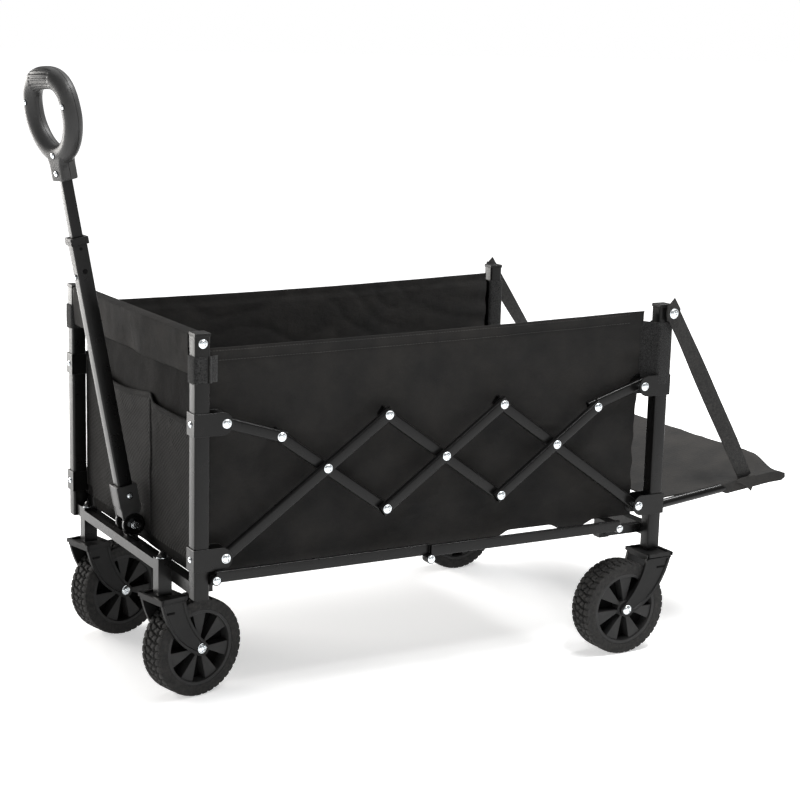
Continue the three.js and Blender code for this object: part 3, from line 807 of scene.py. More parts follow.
WALL_FRONT = low("side_wall_left").x
WALL_REAR = high("side_wall_left").x
WALL_LOW = low("side_wall_left").z - 0.009
WALL_TOP_FRONT = POST_TOP - 0.027
WALL_TOP_REAR = POST_TOP - 0.012
WALL_HEM = 0.021
CLOTH = 0.0018


def crease(x, z, seed, size=0.11):
    """Soft creases: sharp-backed noise, in the cloth's own plane. About -1 to 1."""
    point = Vector((x / size, z / (size * 0.55), seed))
    bend = noise.noise(Vector((x / 0.3, z / 0.3, seed + 9))) * 1.6
    ridge = 1 - 2 * abs(noise.noise(point + Vector((bend, bend, 0))))
    fine = noise.noise(Vector((x / 0.035, z / 0.03, seed + 4)))
    return 0.72 * (ridge ** 3) + 0.22 * fine + 0.3 * noise.noise(Vector((x / 0.2, z / 0.2, seed + 2)))


def close_rims(bm, front, back):
    """Quads between the edges of two grids of vertices that lie face to face."""
    for row in (0, -1):
        for j in range(len(front[0]) - 1):
            bm.faces.new((front[row][j], front[row][j + 1], back[row][j + 1], back[row][j]))
    for end in (0, -1):
        for i in range(len(front) - 1):
            bm.faces.new((front[i][end], front[i + 1][end], back[i + 1][end], back[i][end]))


def sheet_between(bm, rows, thickness, outward):
    """A closed sheet: rows of points on its outer face, and the same rows set back by its thickness."""
    front = skin(bm, rows)
    back = [[bm.verts.new(v.co - outward * thickness) for v in row] for row in front]
    for i in range(len(front) - 1):
        for j in range(len(front[0]) - 1):
            bm.faces.new((back[i][j], back[i + 1][j], back[i + 1][j + 1], back[i][j + 1]))
    close_rims(bm, front, back)


def draws_in(obj):
    """Gives a piece its own copy of its mesh."""
    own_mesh(obj)


def wall_top(share):
    """Height of the wall's top edge: it rises to the rear and dips a little between the posts."""
    dip = 0.0035 * math.sin(math.pi * share)
    return WALL_TOP_FRONT + (WALL_TOP_REAR - WALL_TOP_FRONT) * share - dip


def wall_point(sign, share, rise, lift=0.0):
    """A point of a side wall: share along it, rise up it, lift out from its outer face."""
    x = WALL_FRONT + (WALL_REAR - WALL_FRONT) * share
    over_arm = smooth_step((0.078 - abs(share - 0.740)) / 0.03)
    at_ends = max(smooth_step((share - 0.872) / 0.03), smooth_step((0.034 - share) / 0.012))
    bottom = WALL_LOW + 0.0086 * max(over_arm, at_ends)
    z = bottom + (wall_top(share) - bottom) * rise
    if share > 0.95:
        high_up = smooth_step((z - 0.46) / 0.04)
        pull = 0.0065 * high_up - 0.004 * (1 - high_up) * math.sin(math.pi * (z - 0.23) / 0.23)
        x += (pull + 0.0008 * math.sin(z * 120 + sign)) * (share - 0.95) / 0.05
    middle = math.sin(math.pi * share)
    sag = -0.006 * middle * (0.35 + 0.65 * rise)
    edge_pull = math.exp(-((1 - share) / 0.05) ** 2) + math.exp(-(share / 0.05) ** 2)
    gather = 0.0012 * edge_pull * math.sin(z * 160 + 2 * sign)
    fold = 0.0022 * crease(x, z, 3.1 * sign) * min(1.0, 6 * min(share, 1 - share) + 0.25)
    y = sign * (WALL_Y + CLOTH / 2 + sag + gather + fold + lift)
    return Vector((x, y, z))


def hem_puff(share, rise):
    """How far a wall's hems stand out here, less its sewn lines."""
    height = wall_top(share) - WALL_LOW
    below_top, above_low = (1 - rise) * height, rise * height
    puff = 0.0011 * smooth_step((WALL_HEM - below_top) / 0.004)
    puff += 0.0008 * smooth_step((0.014 - above_low) / 0.003)
    puff -= 0.0009 * math.exp(-((below_top - WALL_HEM) / 0.0018) ** 2)
    puff -= 0.0007 * math.exp(-((below_top - 0.0035) / 0.0016) ** 2)
    return puff + 0.0009 * smooth_step((share - 0.984) / 0.004)


def side_walls():
    for side, sign in SIDES:
        bm = bmesh.new()
        grid = grid_of(170, 74, lambda a, b: wall_point(sign, a, b, hem_puff(a, b)))
        sheet_between(bm, grid, CLOTH, Vector((0, sign, 0)))
        wall = add_piece(f"wall_{side}", bm, CANVAS, "front_frame", [f"side_wall_{side}"], 60)
        draws_in(wall)
        stitches = bmesh.new()
        for depth in (0.0045, 0.0195):
            stitch_row(stitches, sign, depth)
        draws_in(add_piece(f"wall_stitches_{side}", stitches, THREAD, "front_frame"))


def stitch_row(bm, sign, depth):
    """A row of short threads along a wall's hem, depth below its top edge."""
    count = 150
    for i in range(count):
        share = 0.006 + 0.966 * i / count
        rise = 1 - depth / (wall_top(share) - WALL_LOW)
        a, b = [wall_point(sign, at, rise, 0.0007) for at in (share, share + 0.0042)]
        half = (b - a).length / 2
        matrix = frame_on((a + b) / 2, b - a, Vector((0, sign, 0)))
        block(bm, (-0.0003, -0.00045, -half), (0.0004, 0.00045, half), matrix)


side_walls()


# ---- Bands and wraps round the posts ----

WRAP_GAP = 0.0014


def ribbon(bm, path, z0, z1, thickness, steps):
    """An upright strip along a path of (x, y) points, with a slightly wavy top and bottom edge."""
    rows_out, rows_in = [], []
    count = len(path)
    for i, (x, y) in enumerate(path):
        before = Vector(path[max(0, i - 1)])
        after = Vector(path[min(count - 1, i + 1)])
        along = (after - before).normalized()
        side = Vector((along.y, -along.x)) * thickness / 2
        wave = 0.0006 * math.sin(i * 1.7)
        levels = [z0 + wave + (z1 - z0 - wave) * j / steps for j in range(steps + 1)]
        puffs = [1 + 0.4 * math.sin(math.pi * j / steps) for j in range(steps + 1)]
        rows_out.append([Vector((x + side.x * p, y + side.y * p, z)) for z, p in zip(levels, puffs)])
        rows_in.append([Vector((x - side.x, y - side.y, z)) for z in levels])
    closed = [a + list(reversed(b)) for a, b in zip(rows_out, rows_in)]
    tube(bm, closed)


def post_corner(x, k):
    """Points round one corner of a wrapped post, counter-clockwise from corner 0, outside and behind."""
    radius = 0.004
    inset = POST_HALF + WRAP_GAP - radius
    cx = x + (inset if k % 4 in (0, 3) else -inset)
    cy = FRONT_POST.y + (inset if k % 4 in (0, 1) else -inset)
    return arc(cx, cy, radius, 90 * k, 90 * k + 90, 4)


def post_bands():
    """A band with a loose tail on each front post, and each wall's end wrapped round its rear post."""
    x, y = FRONT_POST.x + POST_HALF + WRAP_GAP, FRONT_POST.y + POST_HALF + WRAP_GAP
    band = [(x + 0.013, y - 0.010), (x + 0.004, y - 0.004)]
    for k in (1, 2, 3, 4):
        band += post_corner(FRONT_POST.x, k)
    wrap = [(WALL_REAR + 0.0025, WALL_Y + 0.0012), (WALL_REAR + 0.010, WALL_Y + 0.014)]
    for k in (1, 0, 3, 2):
        wrap += post_corner(REAR_POST_X, k)[::-1]
    for side, sign in SIDES:
        for name, body, path, bottom, top, thickness, steps in (
            ("band", "front_frame", band, 0.075, 0.034, 0.0020, 8),
            ("wrap", "rear_frame", wrap, 0.137, 0.029, 0.0022, 10),
        ):
            bm = bmesh.new()
            path = [(px, sign * py) for px, py in path]
            ribbon(bm, path, POST_TOP - bottom, POST_TOP - top, thickness, steps)
            add_piece(f"post_{name}_{side}", bm, PILE, body, smooth=50)


post_bands()


# ---- Front panel, sleeve, pockets and floor ----

PANEL_X = low("front_panel").x
PANEL_HALF = high("front_panel").y
PANEL_LOW = WALL_LOW - 0.008


def panel_point(across, rise, lift=0.0):
    """A point of the front panel: across -1 to 1, rise 0 to 1, lift towards the handle."""
    low_edge = PANEL_LOW + 0.017 * smooth_step((abs(across) - 0.885) / 0.02)
    z = low_edge + (WALL_TOP_FRONT - low_edge) * rise
    y = PANEL_HALF * across
    belly = -0.003 * (1 - across ** 2) * math.sin(math.pi * rise)
    by_pivot = math.exp(-(y / 0.045) ** 2) * smooth_step((0.34 - z) / 0.06)
    belly -= 0.0030 * by_pivot
    lift *= 1 - 0.75 * by_pivot
    lift += 0.0010 * math.exp(-((z - PANEL_LOW - 0.019) / 0.0014) ** 2)
    fold = 0.0014 * crease(y, z, 17.0) * min(1.0, 5 * (1 - abs(across)) + 0.2)
    return Vector((PANEL_X - belly - fold - lift, y, z))


def front_panel():
    bm = bmesh.new()
    sheet_between(bm, grid_of(110, 70, lambda a, b: panel_point(-1 + 2 * a, b)), CLOTH, -X_AXIS)
    panel = add_piece("panel_front", bm, SHADED_FRONT_CANVAS, "front_frame", ["front_panel"], 60)


SLEEVE_TURN = (
    (1.0, 0.2), (1.03, 0.80), (1.0, 1.0), (0.80, 1.06), (0, 1.07),
    (-0.80, 1.06), (-1.0, 1.0), (-1.03, 0.80), (-1.0, 0.2),
)
# Below the rail on the handle's side: out from the rail's face, and share of the drop.
SLEEVE_HANG = ((-0.0004, 0.2), (0.0005, 0.45), (0.001, 0.7), (0.002, 0.86))
SLEEVE_DROP = 0.062
SLEEVE_HALF = PANEL_HALF + 0.004


def top_sleeve():
    """Cloth turned over the top rail and sewn down on both sides, drawn back behind the handle."""
    rail = (low("front_top_rail") + high("front_top_rail")) / 2
    rail_half = (high("front_top_rail").x - low("front_top_rail").x) / 2 + 0.0003
    section = [(rail_half, -0.032), (rail_half + 0.0006, -0.015)]
    section += [(rail_half * a, rail_half * b) for a, b in SLEEVE_TURN]
    section += [(out - rail_half, -share * SLEEVE_DROP) for out, share in SLEEVE_HANG]
    bm = bmesh.new()
    columns = 100
    grid = []
    for i in range(columns + 1):
        y = (-1 + 2 * i / columns) * SLEEVE_HALF
        behind_handle = math.exp(-(y / 0.04) ** 2)
        line = []
        for k, (dx, dz) in enumerate(section):
            hang = max(0.0, (k - 9) / (len(section) - 10))
            ripple = 0.0016 * hang * crease(y, dz, 5.0, 0.07)
            ripple += 0.0006 * noise.noise(Vector((y / 0.02, k * 0.4, 2)))
            pulled_back = 0.0048 if k > 11 else 0.0
            ripple = ripple * (1 - behind_handle) - pulled_back * behind_handle
            wavy = 0.0015 * hang * math.sin(y * 21)
            line.append(Vector((rail.x + dx - ripple, y, rail.z + dz + wavy)))
        grid.append(line)
    skin(bm, grid)
    obj = finish_mesh("sleeve_front", bm, SHADED_SLEEVE_CANVAS, 60)
    thick = obj.modifiers.new("thick", "SOLIDIFY")
    thick.thickness = 0.0007
    thick.offset = 1
    smooth = obj.modifiers.new("smooth", "SUBSURF")
    smooth.levels = smooth.render_levels = 1
    settle(obj)
    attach(obj, "front_frame")


# Where the pockets' sewn sides are, as shares of the panel's half width.
NET_EDGE = 0.985
DIVIDE = -0.165
NET_FOOT = WALL_LOW + 0.012


def pocket_top(across):
    """Height of the pockets' bound edge: low and slack over the right pocket, higher over the left one."""
    if across < DIVIDE:
        share = (across + 1) / (DIVIDE + 1)
        at_side = 0.006 * (1 - smooth_step(share / 0.2))
        return 0.4645 + at_side + 0.013 * smooth_step((share - 0.86) / 0.14)
    share = (across - DIVIDE) / (1 - DIVIDE)
    dip = 0.010 * math.sin(math.pi * min(1.0, share / 0.75))
    return 0.4775 - dip + 0.010 * smooth_step((share - 0.75) / 0.25)


def slack(across):
    """How far a pocket stands open here, 0 at its sewn sides."""
    left, right = (-1, DIVIDE) if across < DIVIDE else (DIVIDE, 1)
    return math.sin(math.pi * min(1.0, max(0.0, (across - left) / (right - left)))) ** 0.7


def pocket_height(across, share):
    """Height of a point that lies share of the way up a pocket."""
    return NET_FOOT + (pocket_top(across) - NET_FOOT) * share


def before_panel(across, z, lift):
    return panel_point(across, (z - PANEL_LOW) / (WALL_TOP_FRONT - PANEL_LOW), lift)


def net_point(across, share):
    z = pocket_height(across, share)
    open_by = 0.005 * share ** 2 * slack(across) * (1 - math.exp(-(across / 0.2) ** 2))
    ripple = 0.0016 * crease(across * PANEL_HALF, z, 31.0, 0.06) * share
    return before_panel(across, z, 0.0024 + open_by + ripple * slack(across))


def pockets():
    """Net pockets on the front panel with a bound edge and sewn divides."""
    bm, edge = bmesh.new(), bmesh.new()
    grid = grid_of(120, 40, lambda a, b: net_point(-NET_EDGE + 2 * NET_EDGE * a, b))
    sheet_between(bm, grid, 0.0012, -X_AXIS)
    net = add_piece("pocket_net", bm, NET, "front_frame", smooth=60)
    bound = [Vector((0.0022 * math.cos(a), 0, 0.0052 * math.sin(a) - 0.003)) for a in ring(10)]
    tube(edge, [[row[-1] + around for around in bound] for row in grid])
    sewn = [Vector((-0.0008 * math.sin(a), 0.0045 * math.cos(a), 0)) for a in ring(8)]
    for across in (-NET_EDGE, DIVIDE, NET_EDGE):
        seam = [before_panel(across, pocket_height(across, j / 30), 0.0034) for j in range(31)]
        tube(edge, [[point + around for around in sewn] for point in seam])
    add_piece("pocket_binding", edge, HEM, "front_frame", smooth=60)


def floor_cloth():
    """The basket's bottom: one cloth with a crease across its middle."""
    bm = bmesh.new()
    x0, x1 = low("floor_front").x, high("floor_rear").x
    top, reach = high("floor_front").z, high("floor_front").y

    def point_at(along, share):
        x, y = x0 + (x1 - x0) * along, reach * (-1 + 2 * share)
        from_middle = abs(x - (x0 + x1) / 2)
        groove = 0.0022 * math.exp(-(from_middle / 0.008) ** 2)
        return Vector((x, y, top - 0.001 - groove + 0.0012 * crease(x, y, 44.0, 0.14)))

    sheet_between(bm, grid_of(90, 50, point_at), 0.004, Z_AXIS)
    replaced = ["floor_front", "floor_rear"]
    obj = add_piece("floor_cloth", bm, CANVAS, "front_frame", replaced, 60)
    draws_in(obj)


front_panel()
top_sleeve()
pockets()
floor_cloth()


# ---- Tailgate and straps ----

GATE = place("tailgate_hinge")
GATE_ANGLE = math.radians(6.5)
GATE_FRAME = Matrix.Translation(GATE) @ Matrix.Rotation(-GATE_ANGLE, 4, "Y")
GATE_REACH = 0.256
GATE_HALF = 0.266
GATE_TUBE = 0.008


def gate_line():
    """Middle line of the tailgate's bent tube, in its own plane."""
    bend = 0.034
    start, corner = (GATE_REACH - bend, -GATE_HALF), (GATE_REACH, -GATE_HALF)
    arm = [(GATE_REACH * t, -GATE_HALF) for t in (0, 0.15, 0.3, 0.45, 0.6, 0.72)] + [start]
    arm += bezier(start, corner, (GATE_REACH, -GATE_HALF + bend), 12)
    bar = [(GATE_REACH, (GATE_HALF - bend) * t) for t in (-0.6, -0.2, 0.2, 0.6)]
    return arm + bar + [(x, -y) for x, y in reversed(arm)]


def gate_tube():
    bm = bmesh.new()
    line = [GATE_FRAME @ Vector((x, y, 0)) for x, y in gate_line()]
    up = (GATE_FRAME.to_3x3() @ Z_AXIS).normalized()
    rows = []
    for i, point in enumerate(line):
        along = (line[min(i + 1, len(line) - 1)] - line[max(i - 1, 0)]).normalized()
        side = along.cross(up)
        rows.append([point + GATE_TUBE * (math.cos(a) * side + math.sin(a) * up) for a in ring(24)])
    tube(bm, rows)
    replaced = ["tailgate_frame"]
    add_piece("v_tailgate_frame", bm, STEEL, "tailgate", replaced, 50, 0.0008)


def gate_half_width(x):
    """Half the cloth's width: held in near the hinge, out round the tubes beyond that."""
    share = x / GATE_REACH
    outward = 0.014 * smooth_step((share - 0.05) / 0.40)
    return 0.2475 + outward + 0.0125 * smooth_step((share - 0.44) / 0.12)


def gate_surface(x, y_share):
    """Top of the tailgate's cloth above the tube's plane."""
    share = x / GATE_REACH
    inside = smooth_step((0.925 - abs(y_share)) / 0.20)
    crown = 0.030 * min(1.0, share) * inside
    on_tube = 0.0052 * smooth_step((share - 0.46) / 0.12) * (1 - inside)
    y = y_share * GATE_HALF
    wrinkle = 0.0016 * crease(x, y, 63.0, 0.12) * (0.2 + 0.8 * inside)
    pull = 0.0020 * noise.noise(Vector((x / 0.12 + y / 0.5, y / 0.11, 71)))
    end = smooth_step((x - GATE_REACH + 0.010) / 0.022)
    return (0.005 + crown + on_tube + wrinkle + pull * share) * (1 - 0.30 * end) - 0.0005


def gate_cloth():
    """The tailgate's cloth: open under its middle, wrapped round the tubes at its edges."""
    bm = bmesh.new()
    columns, rows_across = 70, 96
    tip = GATE_REACH + 0.0120
    top, under = [], []
    for i in range(columns + 1):
        x = 0.004 + (tip - 0.004) * i / columns
        half = gate_half_width(x)
        above, below = [], []
        for j in range(rows_across + 1):
            s = -1 + 2 * j / rows_across
            corner = smooth_step((x - GATE_REACH + 0.03) / 0.04) * smooth_step((abs(s) - 0.86) / 0.14)
            px, py = x + 0.006 * corner ** 2, half * s * (1 + 0.020 * corner ** 2)
            height = gate_surface(x, s)
            at_end = smooth_step((x - GATE_REACH + 0.030) / 0.012)
            at_side = smooth_step((x / GATE_REACH - 0.46) / 0.10) * smooth_step((abs(s) - 0.90) / 0.04)
            wrap = max(at_end, at_side)
            floor = height - 0.0022 - wrap * (height + 0.0078)
            tip_close = smooth_step((x - GATE_REACH - 0.004) / 0.008)
            above.append(GATE_FRAME @ Vector((px, py, height * (1 - 0.55 * corner * tip_close))))
            below.append(GATE_FRAME @ Vector((px, py, floor + 0.0045 * tip_close * wrap)))
        top.append(above)
        under.append(below)
    upper, lower = skin(bm, top), skin(bm, under)
    close_rims(bm, upper, lower)
    cloth = add_piece("gate_cloth", bm, LIT_GATE_CANVAS, "tailgate", ["tailgate_panel"], 55)


def corner_flaps():
    """The loose ends of the corner pockets, folded down over the tubes by the straps."""
    bm = bmesh.new()
    shape = [
        (0.160, 0.0105), (0.176, 0.0135), (0.207, 0.0125),
        (0.203, -0.002), (0.196, -0.0165), (0.184, -0.004),
    ]
    for _, sign in SIDES:
        prism(bm, shape, sign * 0.2752, sign * 0.2775, lifted(GATE_FRAME))
    add_piece("corner_flaps", bm, LIT_GATE_CANVAS, "tailgate", smooth=55, round_by=0.0008)


STRAP_WIDTH = 0.0284
# Where the strap begins, measured from its bolt: its pointed end stands above the bolt.
STRAP_START = -0.022


def strap_path(sign):
    """Middle of the strap, from its pointed top over the post to its foot in the corner pocket."""
    y = high("strap_left").y + 0.0004
    top = Vector((REAR_POST_X + 0.0095, sign * y, POST_TOP - 0.013))
    foot = GATE_FRAME @ Vector((GATE_REACH - 0.064, sign * 0.2665, 0.0075))
    return top, foot


def straps():
    """Straps from the rear posts to the tailgate's corners, each with its bolt and pointed tab."""
    half, steps = STRAP_WIDTH / 2, 90
    for side, sign in SIDES:
        top, foot = strap_path(sign)
        along = (foot - top).normalized()
        out = Vector((0, sign, 0))
        wide = along.cross(out).normalized()
        bm = bmesh.new()
        length = (foot - top).length
        grid = []
        for i in range(steps + 1):
            t = i / steps
            run = STRAP_START + (length - STRAP_START) * t
            turning = smooth_step((t - 0.15) / 0.3) * (1 - smooth_step((t - 0.72) / 0.28))
            twist = 0.32 * turning * sign
            across = wide * math.cos(twist) + out * math.sin(twist)
            bow = out * (0.0032 * math.sin(math.pi * t) + 0.0011 * math.sin(9 * t))
            narrow = min(1.0, max(0.02, (run - STRAP_START) / 0.016))
            middle = top + along * run + bow
            grid.append([middle + across * half * narrow * u for u in (-1, -0.97, -0.5, 0, 0.5, 0.97, 1)])
        sheet_between(bm, grid, 0.0018, out)
        strap = finish_mesh(f"strap_web_{side}", bm, WEB, 55)
        tuple(top)
        tuple(foot)
        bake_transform(strap)
        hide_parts(f"strap_{side}")
    bolts, tabs = bmesh.new(), bmesh.new()
    for _, sign in SIDES:
        top, _ = strap_path(sign)
        out = Vector((0, sign, 0))
        shape = [(-0.0135, -0.012), (0.0115, -0.020), (0.0135, 0.008), (0.0010, 0.0268), (-0.0135, 0.012)]
        prism(tabs, shape, 0.0002, 0.0026, lambda u, v, d: top + Vector((u, 0, v)) + out * d)
        rivet(bolts, top + out * 0.0026, out, 0.0080, 0.0036)
        disc(bolts, 0.0035, 0, 0.007, frame_on(top - out * 0.006, out), 16)
    add_piece("strap_bolts", bolts, ZINC, "rear_frame")
    add_piece("strap_tabs", tabs, WEB, "rear_frame")


gate_tube()
gate_cloth()
corner_flaps()
straps()

# ---- Pull handle ----

TILT = place("handle_tilt")
LEAN = math.atan2(-JOINTS["handle_telescope"]["axis"][0], JOINTS["handle_telescope"]["axis"][2])
HANDLE = Matrix.Translation(TILT) @ Matrix.Rotation(-LEAN, 4, "Y")
GRIP_TWIST = math.radians(15)
GRIP = HANDLE @ Matrix.Rotation(GRIP_TWIST, 4, "Z")
GRIP_CENTRE = 0.681
GRIP_HALF_WIDTH = 0.052
GRIP_HALF_HEIGHT = 0.060
GRIP_TUBE_R = 0.0155
GRIP_BOTTOM = 0.580


def loop_point(angle):
    """Middle line of the loop: egg-shaped, with a flat top bar."""
    flat = 0.74 if math.sin(angle) > 0 else 0.95
    across, rise = math.cos(angle), math.sin(angle)
    taper = 1 - 0.14 * max(0.0, -rise)
    y = GRIP_HALF_WIDTH * taper * math.copysign(abs(across) ** flat, across)
    z = GRIP_CENTRE + GRIP_HALF_HEIGHT * math.copysign(abs(rise) ** flat, rise)
    return Vector((0, y, z))


# The grip's neck from its foot up: half its depth, half its width, height.
NECK = (
    (0.0150, 0.0170, GRIP_BOTTOM), (0.0150, 0.0172, 0.606), (0.0145, 0.0205, 0.618),
    (0.0138, 0.0260, 0.624), (0.0120, 0.0280, 0.628),
)


def grip_solid():
    """The loop and its neck as one smooth solid, in the handle's own frame."""
    bm = bmesh.new()
    rows = []
    around, section = 120, 28
    for i in range(around):
        angle = math.tau * (i + 0.5) / around
        middle = loop_point(angle)
        along = (loop_point(angle + 0.04) - loop_point(angle - 0.04)).normalized()
        out = Vector((0, along.z, -along.y))
        radius = GRIP_TUBE_R * (1 + 0.16 * max(0.0, math.sin(angle)) ** 3)
        rows.append([middle + radius * (math.cos(t) * out - math.sin(t) * X_AXIS) for t in ring(section)])
    skin(bm, rows, True, True)
    rings = []
    corner = 0.0045
    for half_x, half_y, z in NECK:
        outline = []
        for ux, uy, start in ((1, 1, 0), (-1, 1, 90), (-1, -1, 180), (1, -1, 270)):
            outline += arc(ux * (half_x - corner), uy * (half_y - corner), corner, start, start + 90, 4)
        rings.append([Vector((x, y, z)) for x, y in outline])
    tube(bm, rings)
    obj = finish_mesh("grip_whole", bm, GREY_PLASTIC, 60)
    remesh = obj.modifiers.new("remesh", "REMESH")
    remesh.mode = "VOXEL"
    remesh.voxel_size = 0.0011
    soften = obj.modifiers.new("soften", "SMOOTH")
    soften.factor = 0.6
    soften.iterations = 12
    return settle(obj)


def rib_depth(point):
    """How deep the finger ribs cut at this place of the loop's top bar."""
    y, z = point.y, point.z - GRIP_CENTRE - GRIP_HALF_HEIGHT
    span = smooth_step((0.029 - abs(y)) / 0.006)
    turn = math.atan2(-point.x, z + 0.003)
    facing = smooth_step((turn - math.radians(24)) / math.radians(14))
    facing *= smooth_step((math.radians(168) - turn) / math.radians(12))
    wave = 0.5 - 0.5 * math.cos(turn * 18)
    return 0.0014 * span * facing * wave * (1.0 if z > -0.03 else 0.0)


def nearest_middle(point):
    """The loop's middle line, or the socket's axis, straight in from a point on the grip."""
    if point.z < GRIP_CENTRE - GRIP_HALF_HEIGHT - 0.008:
        return Vector((0, 0, point.z))
    angle = math.atan2((point.z - GRIP_CENTRE) / GRIP_HALF_HEIGHT, point.y / GRIP_HALF_WIDTH)
    return loop_point(angle)


def grip_halves():
    """The grip cut into its two shells along the seam, with its screws on near-black discs of painted shade for
    their wells.
    """
    whole = grip_solid()
    normals = [vertex.normal.copy() for vertex in whole.data.vertices]
    for vertex, normal in zip(whole.data.vertices, normals):
        vertex.co -= normal * rib_depth(vertex.co)
    for name, sign in (("front", -1), ("back", 1)):
        bm = bmesh.new()
        bm.from_mesh(whole.data)
        everything = bm.verts[:] + bm.edges[:] + bm.faces[:]
        seam = Vector((sign * 0.00035, 0, 0))
        cut = bmesh.ops.bisect_plane(
            bm, geom=everything, plane_co=seam, plane_no=(-sign, 0, 0), clear_outer=True
        )
        rim = [e for e in cut["geom_cut"] if isinstance(e, bmesh.types.BMEdge)]
        flange = bmesh.ops.extrude_edge_only(bm, edges=rim)
        for vertex in [v for v in flange["geom"] if isinstance(v, bmesh.types.BMVert)]:
            vertex.co = vertex.co.lerp(nearest_middle(vertex.co), 0.22)
        bmesh.ops.transform(bm, matrix=GRIP, verts=bm.verts)
        replaced = [f"handle_grip_{name}"]
        add_piece(f"grip_{name}", bm, GREY_PLASTIC, "handle_upper", replaced, 50)
    bpy.data.objects.remove(whole)
    screws, wells = bmesh.new(), bmesh.new()
    out = (GRIP.to_3x3() @ -X_AXIS).normalized()
    spots = [loop_point(math.radians(degrees)) for degrees in (17, 170, 270)]
    spots.append(Vector((0, 0, GRIP_BOTTOM + 0.012)))
    for middle in spots:
        spot = GRIP @ Vector((-0.0148, middle.y, middle.z))
        # Painted shade: a thin near-black disc under each screw stands for the shade in its well.
        disc(wells, 0.0052, 0, 0.0009, frame_on(spot, out))
        rivet(screws, spot + out * 0.0006, out, 0.0038, 0.0018)
    add_piece("grip_screws", screws, ZINC, "handle_upper")
    add_piece("grip_screw_well_shade", wells, PIT_SHADE, "handle_upper")


def high_local(node):
    """Top of a node along the handle."""
    back = HANDLE.inverted()
    return max((back @ v.co).z for v in frame["nodes"][node].data.vertices)


KNUCKLE_HALF = 0.0179
HANDLE_TUBE_HALF = 0.0125


def knuckle_housing():
    """Socket of the handle: a box that runs down the front of the pivot, with an open mouth below."""
    bm = bmesh.new()
    side, top = KNUCKLE_HALF, high_local("handle_knuckle")
    mouth = KNUCKLE_HALF - 0.0051
    outline = [(side, top), (side, 0.034)]
    outline += bezier((side, 0.034), (0.020, 0.020), (0.008, 0.012), 6)
    outline += [(-0.006, 0.004), (-0.008, -0.012), (-0.011, -0.0155), (-0.0140, -0.0120)]
    outline += bezier((-0.0140, -0.0120), (-0.0176, 0.002), (-0.0166, 0.026), 8)
    outline += [(-side, 0.034), (-side, top)]
    for y0, y1 in ((-side, -mouth), (mouth, side)):
        prism(bm, outline, y0, y1, lifted(HANDLE))
    for x0, x1, z0, z1 in (
        (-side, -mouth, 0.030, top),
        (mouth, side, 0.022, top),
        (-0.0162, -0.0115, 0.0135, 0.032),
    ):
        block(bm, (x0, -0.0135, z0), (x1, 0.0135, z1), HANDLE)
    replaced = ["handle_knuckle"]
    add_piece("v_handle_knuckle", bm, GREY_PLASTIC, "handle", replaced, 34, 0.0014)


def handle_fittings():
    knuckle_housing()
    softened("handle_collar", BLACK_PLASTIC, 0.0012)
    softened("handle_button", ZINC, 0.0009)
    softened("handle_pivot_bolt", ZINC, 0.0007)
    cheeks, screws, hole_shade = bmesh.new(), bmesh.new(), bmesh.new()
    profile = [
        (0, 0), (0.0183, 0), (0.0193, 0.0012), (0.0193, 0.0056),
        (0.0183, 0.0066), (0.0118, 0.0067), (0.0108, 0.0060), (0, 0.0060),
    ]
    for sign in (-1, 1):
        out = (HANDLE.to_3x3() @ Vector((0, sign, 0))).normalized()
        turned(cheeks, profile, frame_on(HANDLE @ Vector((0, sign * 0.0125, 0)), out), 48)
        spot = HANDLE @ Vector((0.002, sign * KNUCKLE_HALF, 0.050))
        # Painted shade: a near-black disc round each knuckle screw stands for its recess.
        disc(hole_shade, 0.0056, 0, 0.0003, frame_on(spot, out))
        rivet(screws, spot, out, 0.0040, 0.0020)
    # Painted shade: near-black discs on the tube stand for its two holes.
    for at, radius in ((0.432, 0.0042), (0.469, 0.0026)):
        spot = HANDLE @ Vector((0, -HANDLE_TUBE_HALF, at))
        disc(hole_shade, radius, -0.0003, 0.0002, frame_on(spot, -Y_AXIS))
    add_piece("pivot_cheeks", cheeks, GLOSS, "handle")
    add_piece("knuckle_screws", screws, ZINC, "handle")
    add_piece("handle_hole_shade", hole_shade, PIT_SHADE, "handle")


grip_halves()
handle_fittings()


# ---- Stage, light and camera ----

AIM = Vector((0.01343, 0.0, 0.420))
CAMERA_POINT = Vector((-1.5611, -2.7830, 1.0705))
CAMERA_ROLL = math.radians(1.5)
CAMERA_LENS = 82.33


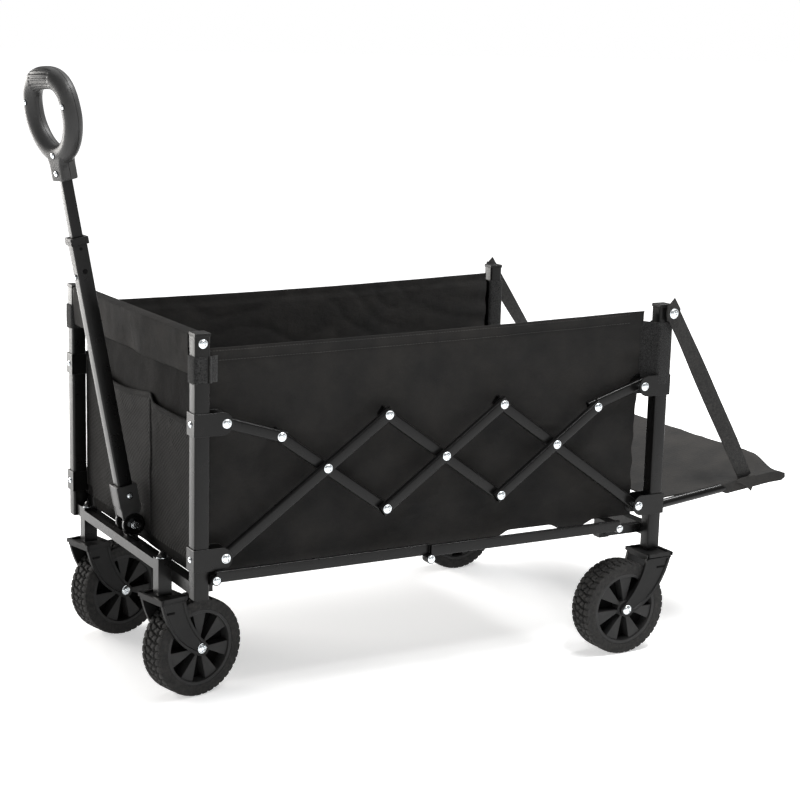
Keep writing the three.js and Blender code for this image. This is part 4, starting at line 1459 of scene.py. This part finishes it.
def stage_floor():
    """A wide pale floor that shades off to white away from the wagon."""
    bm = bmesh.new()
    reach = 60.0
    lines = [reach * share for share in (-1, -0.1, 0.1, 1)]
    rows = [[Vector((x, y, 0)) for x in lines] for y in lines]
    skin(bm, rows)
    paper = Finish("stage_paper", 0.7, specular=0.1)
    paper.greys(paper.noise(1.2, 3), 0.3, 0.88, 0.7, 0.90)
    paper.set(paper.shader, "Emission Color", (1, 1, 1, 1))
    distance = paper.add("ShaderNodeVectorMath", operation="LENGTH")
    paper.link(paper.add("ShaderNodeNewGeometry").outputs["Position"], distance, "Vector")
    glow = paper.add("ShaderNodeMapRange", interpolation_type="SMOOTHSTEP")
    for socket, value in (("From Min", 0.7), ("From Max", 3.6), ("To Min", 0.50), ("To Max", 0.95)):
        paper.set(glow, socket, value)
    paper.link(distance.outputs["Value"], glow, "Value")
    paper.link(glow.outputs["Result"], paper.shader, "Emission Strength")
    finish_mesh("stage_floor", bm, paper.material)


def set_up(name, data, point, target, roll=0.0):
    """Puts a camera or a light at a point, facing a target."""
    obj = bpy.data.objects.new(name, data)
    bpy.context.scene.collection.objects.link(obj)
    turn = (Vector(target) - Vector(point)).to_track_quat("-Z", "Y").to_matrix().to_4x4()
    obj.matrix_world = Matrix.Translation(point) @ turn @ Matrix.Rotation(roll, 4, "Z")
    return obj


def add_camera():
    data = bpy.data.cameras.new("camera")
    data.lens = CAMERA_LENS
    data.sensor_width = 36
    data.clip_end = 200
    bpy.context.scene.camera = set_up("camera", data, CAMERA_POINT, AIM, CAMERA_ROLL)


def soft_light(name, point, target, size, power, color=(1, 1, 1)):
    data = bpy.data.lights.new(name, "AREA")
    data.shape = "RECTANGLE"
    data.size, data.size_y = size
    data.energy = power
    data.color = color
    set_up(name, data, point, target)


def add_light():
    """A white room to the eye, dimmer as a light, with soft lights above, beside and behind the wagon."""
    world = bpy.data.worlds.new("studio")
    bpy.context.scene.world = world
    world.use_nodes = True
    tree = world.node_tree
    back = tree.nodes["Background"]
    back.inputs["Color"].default_value = (1, 1, 1, 1)
    path = tree.nodes.new("ShaderNodeLightPath")
    level = tree.nodes.new("ShaderNodeMapRange")
    level.inputs["To Min"].default_value = 0.26
    level.inputs["To Max"].default_value = 1.0
    tree.links.new(path.outputs["Is Camera Ray"], level.inputs["Value"])
    tree.links.new(level.outputs["Result"], back.inputs["Strength"])
    soft_light("top_light", (0.3, 0.5, 3.0), (0, 0, 0), (3.5, 3.0), 52)
    soft_light("strip_light", (0.9, -0.55, 2.6), (0.3, 0, 0.3), (3.0, 0.3), 100)
    soft_light("back_light", (-1.9, 2.9, 0.95), (-0.1, 0, 0.4), (2.6, 1.6), 150, (1.0, 0.975, 0.94))
    bpy.context.scene.view_settings.view_transform = "Standard"


add_camera()
stage_floor()
add_light()
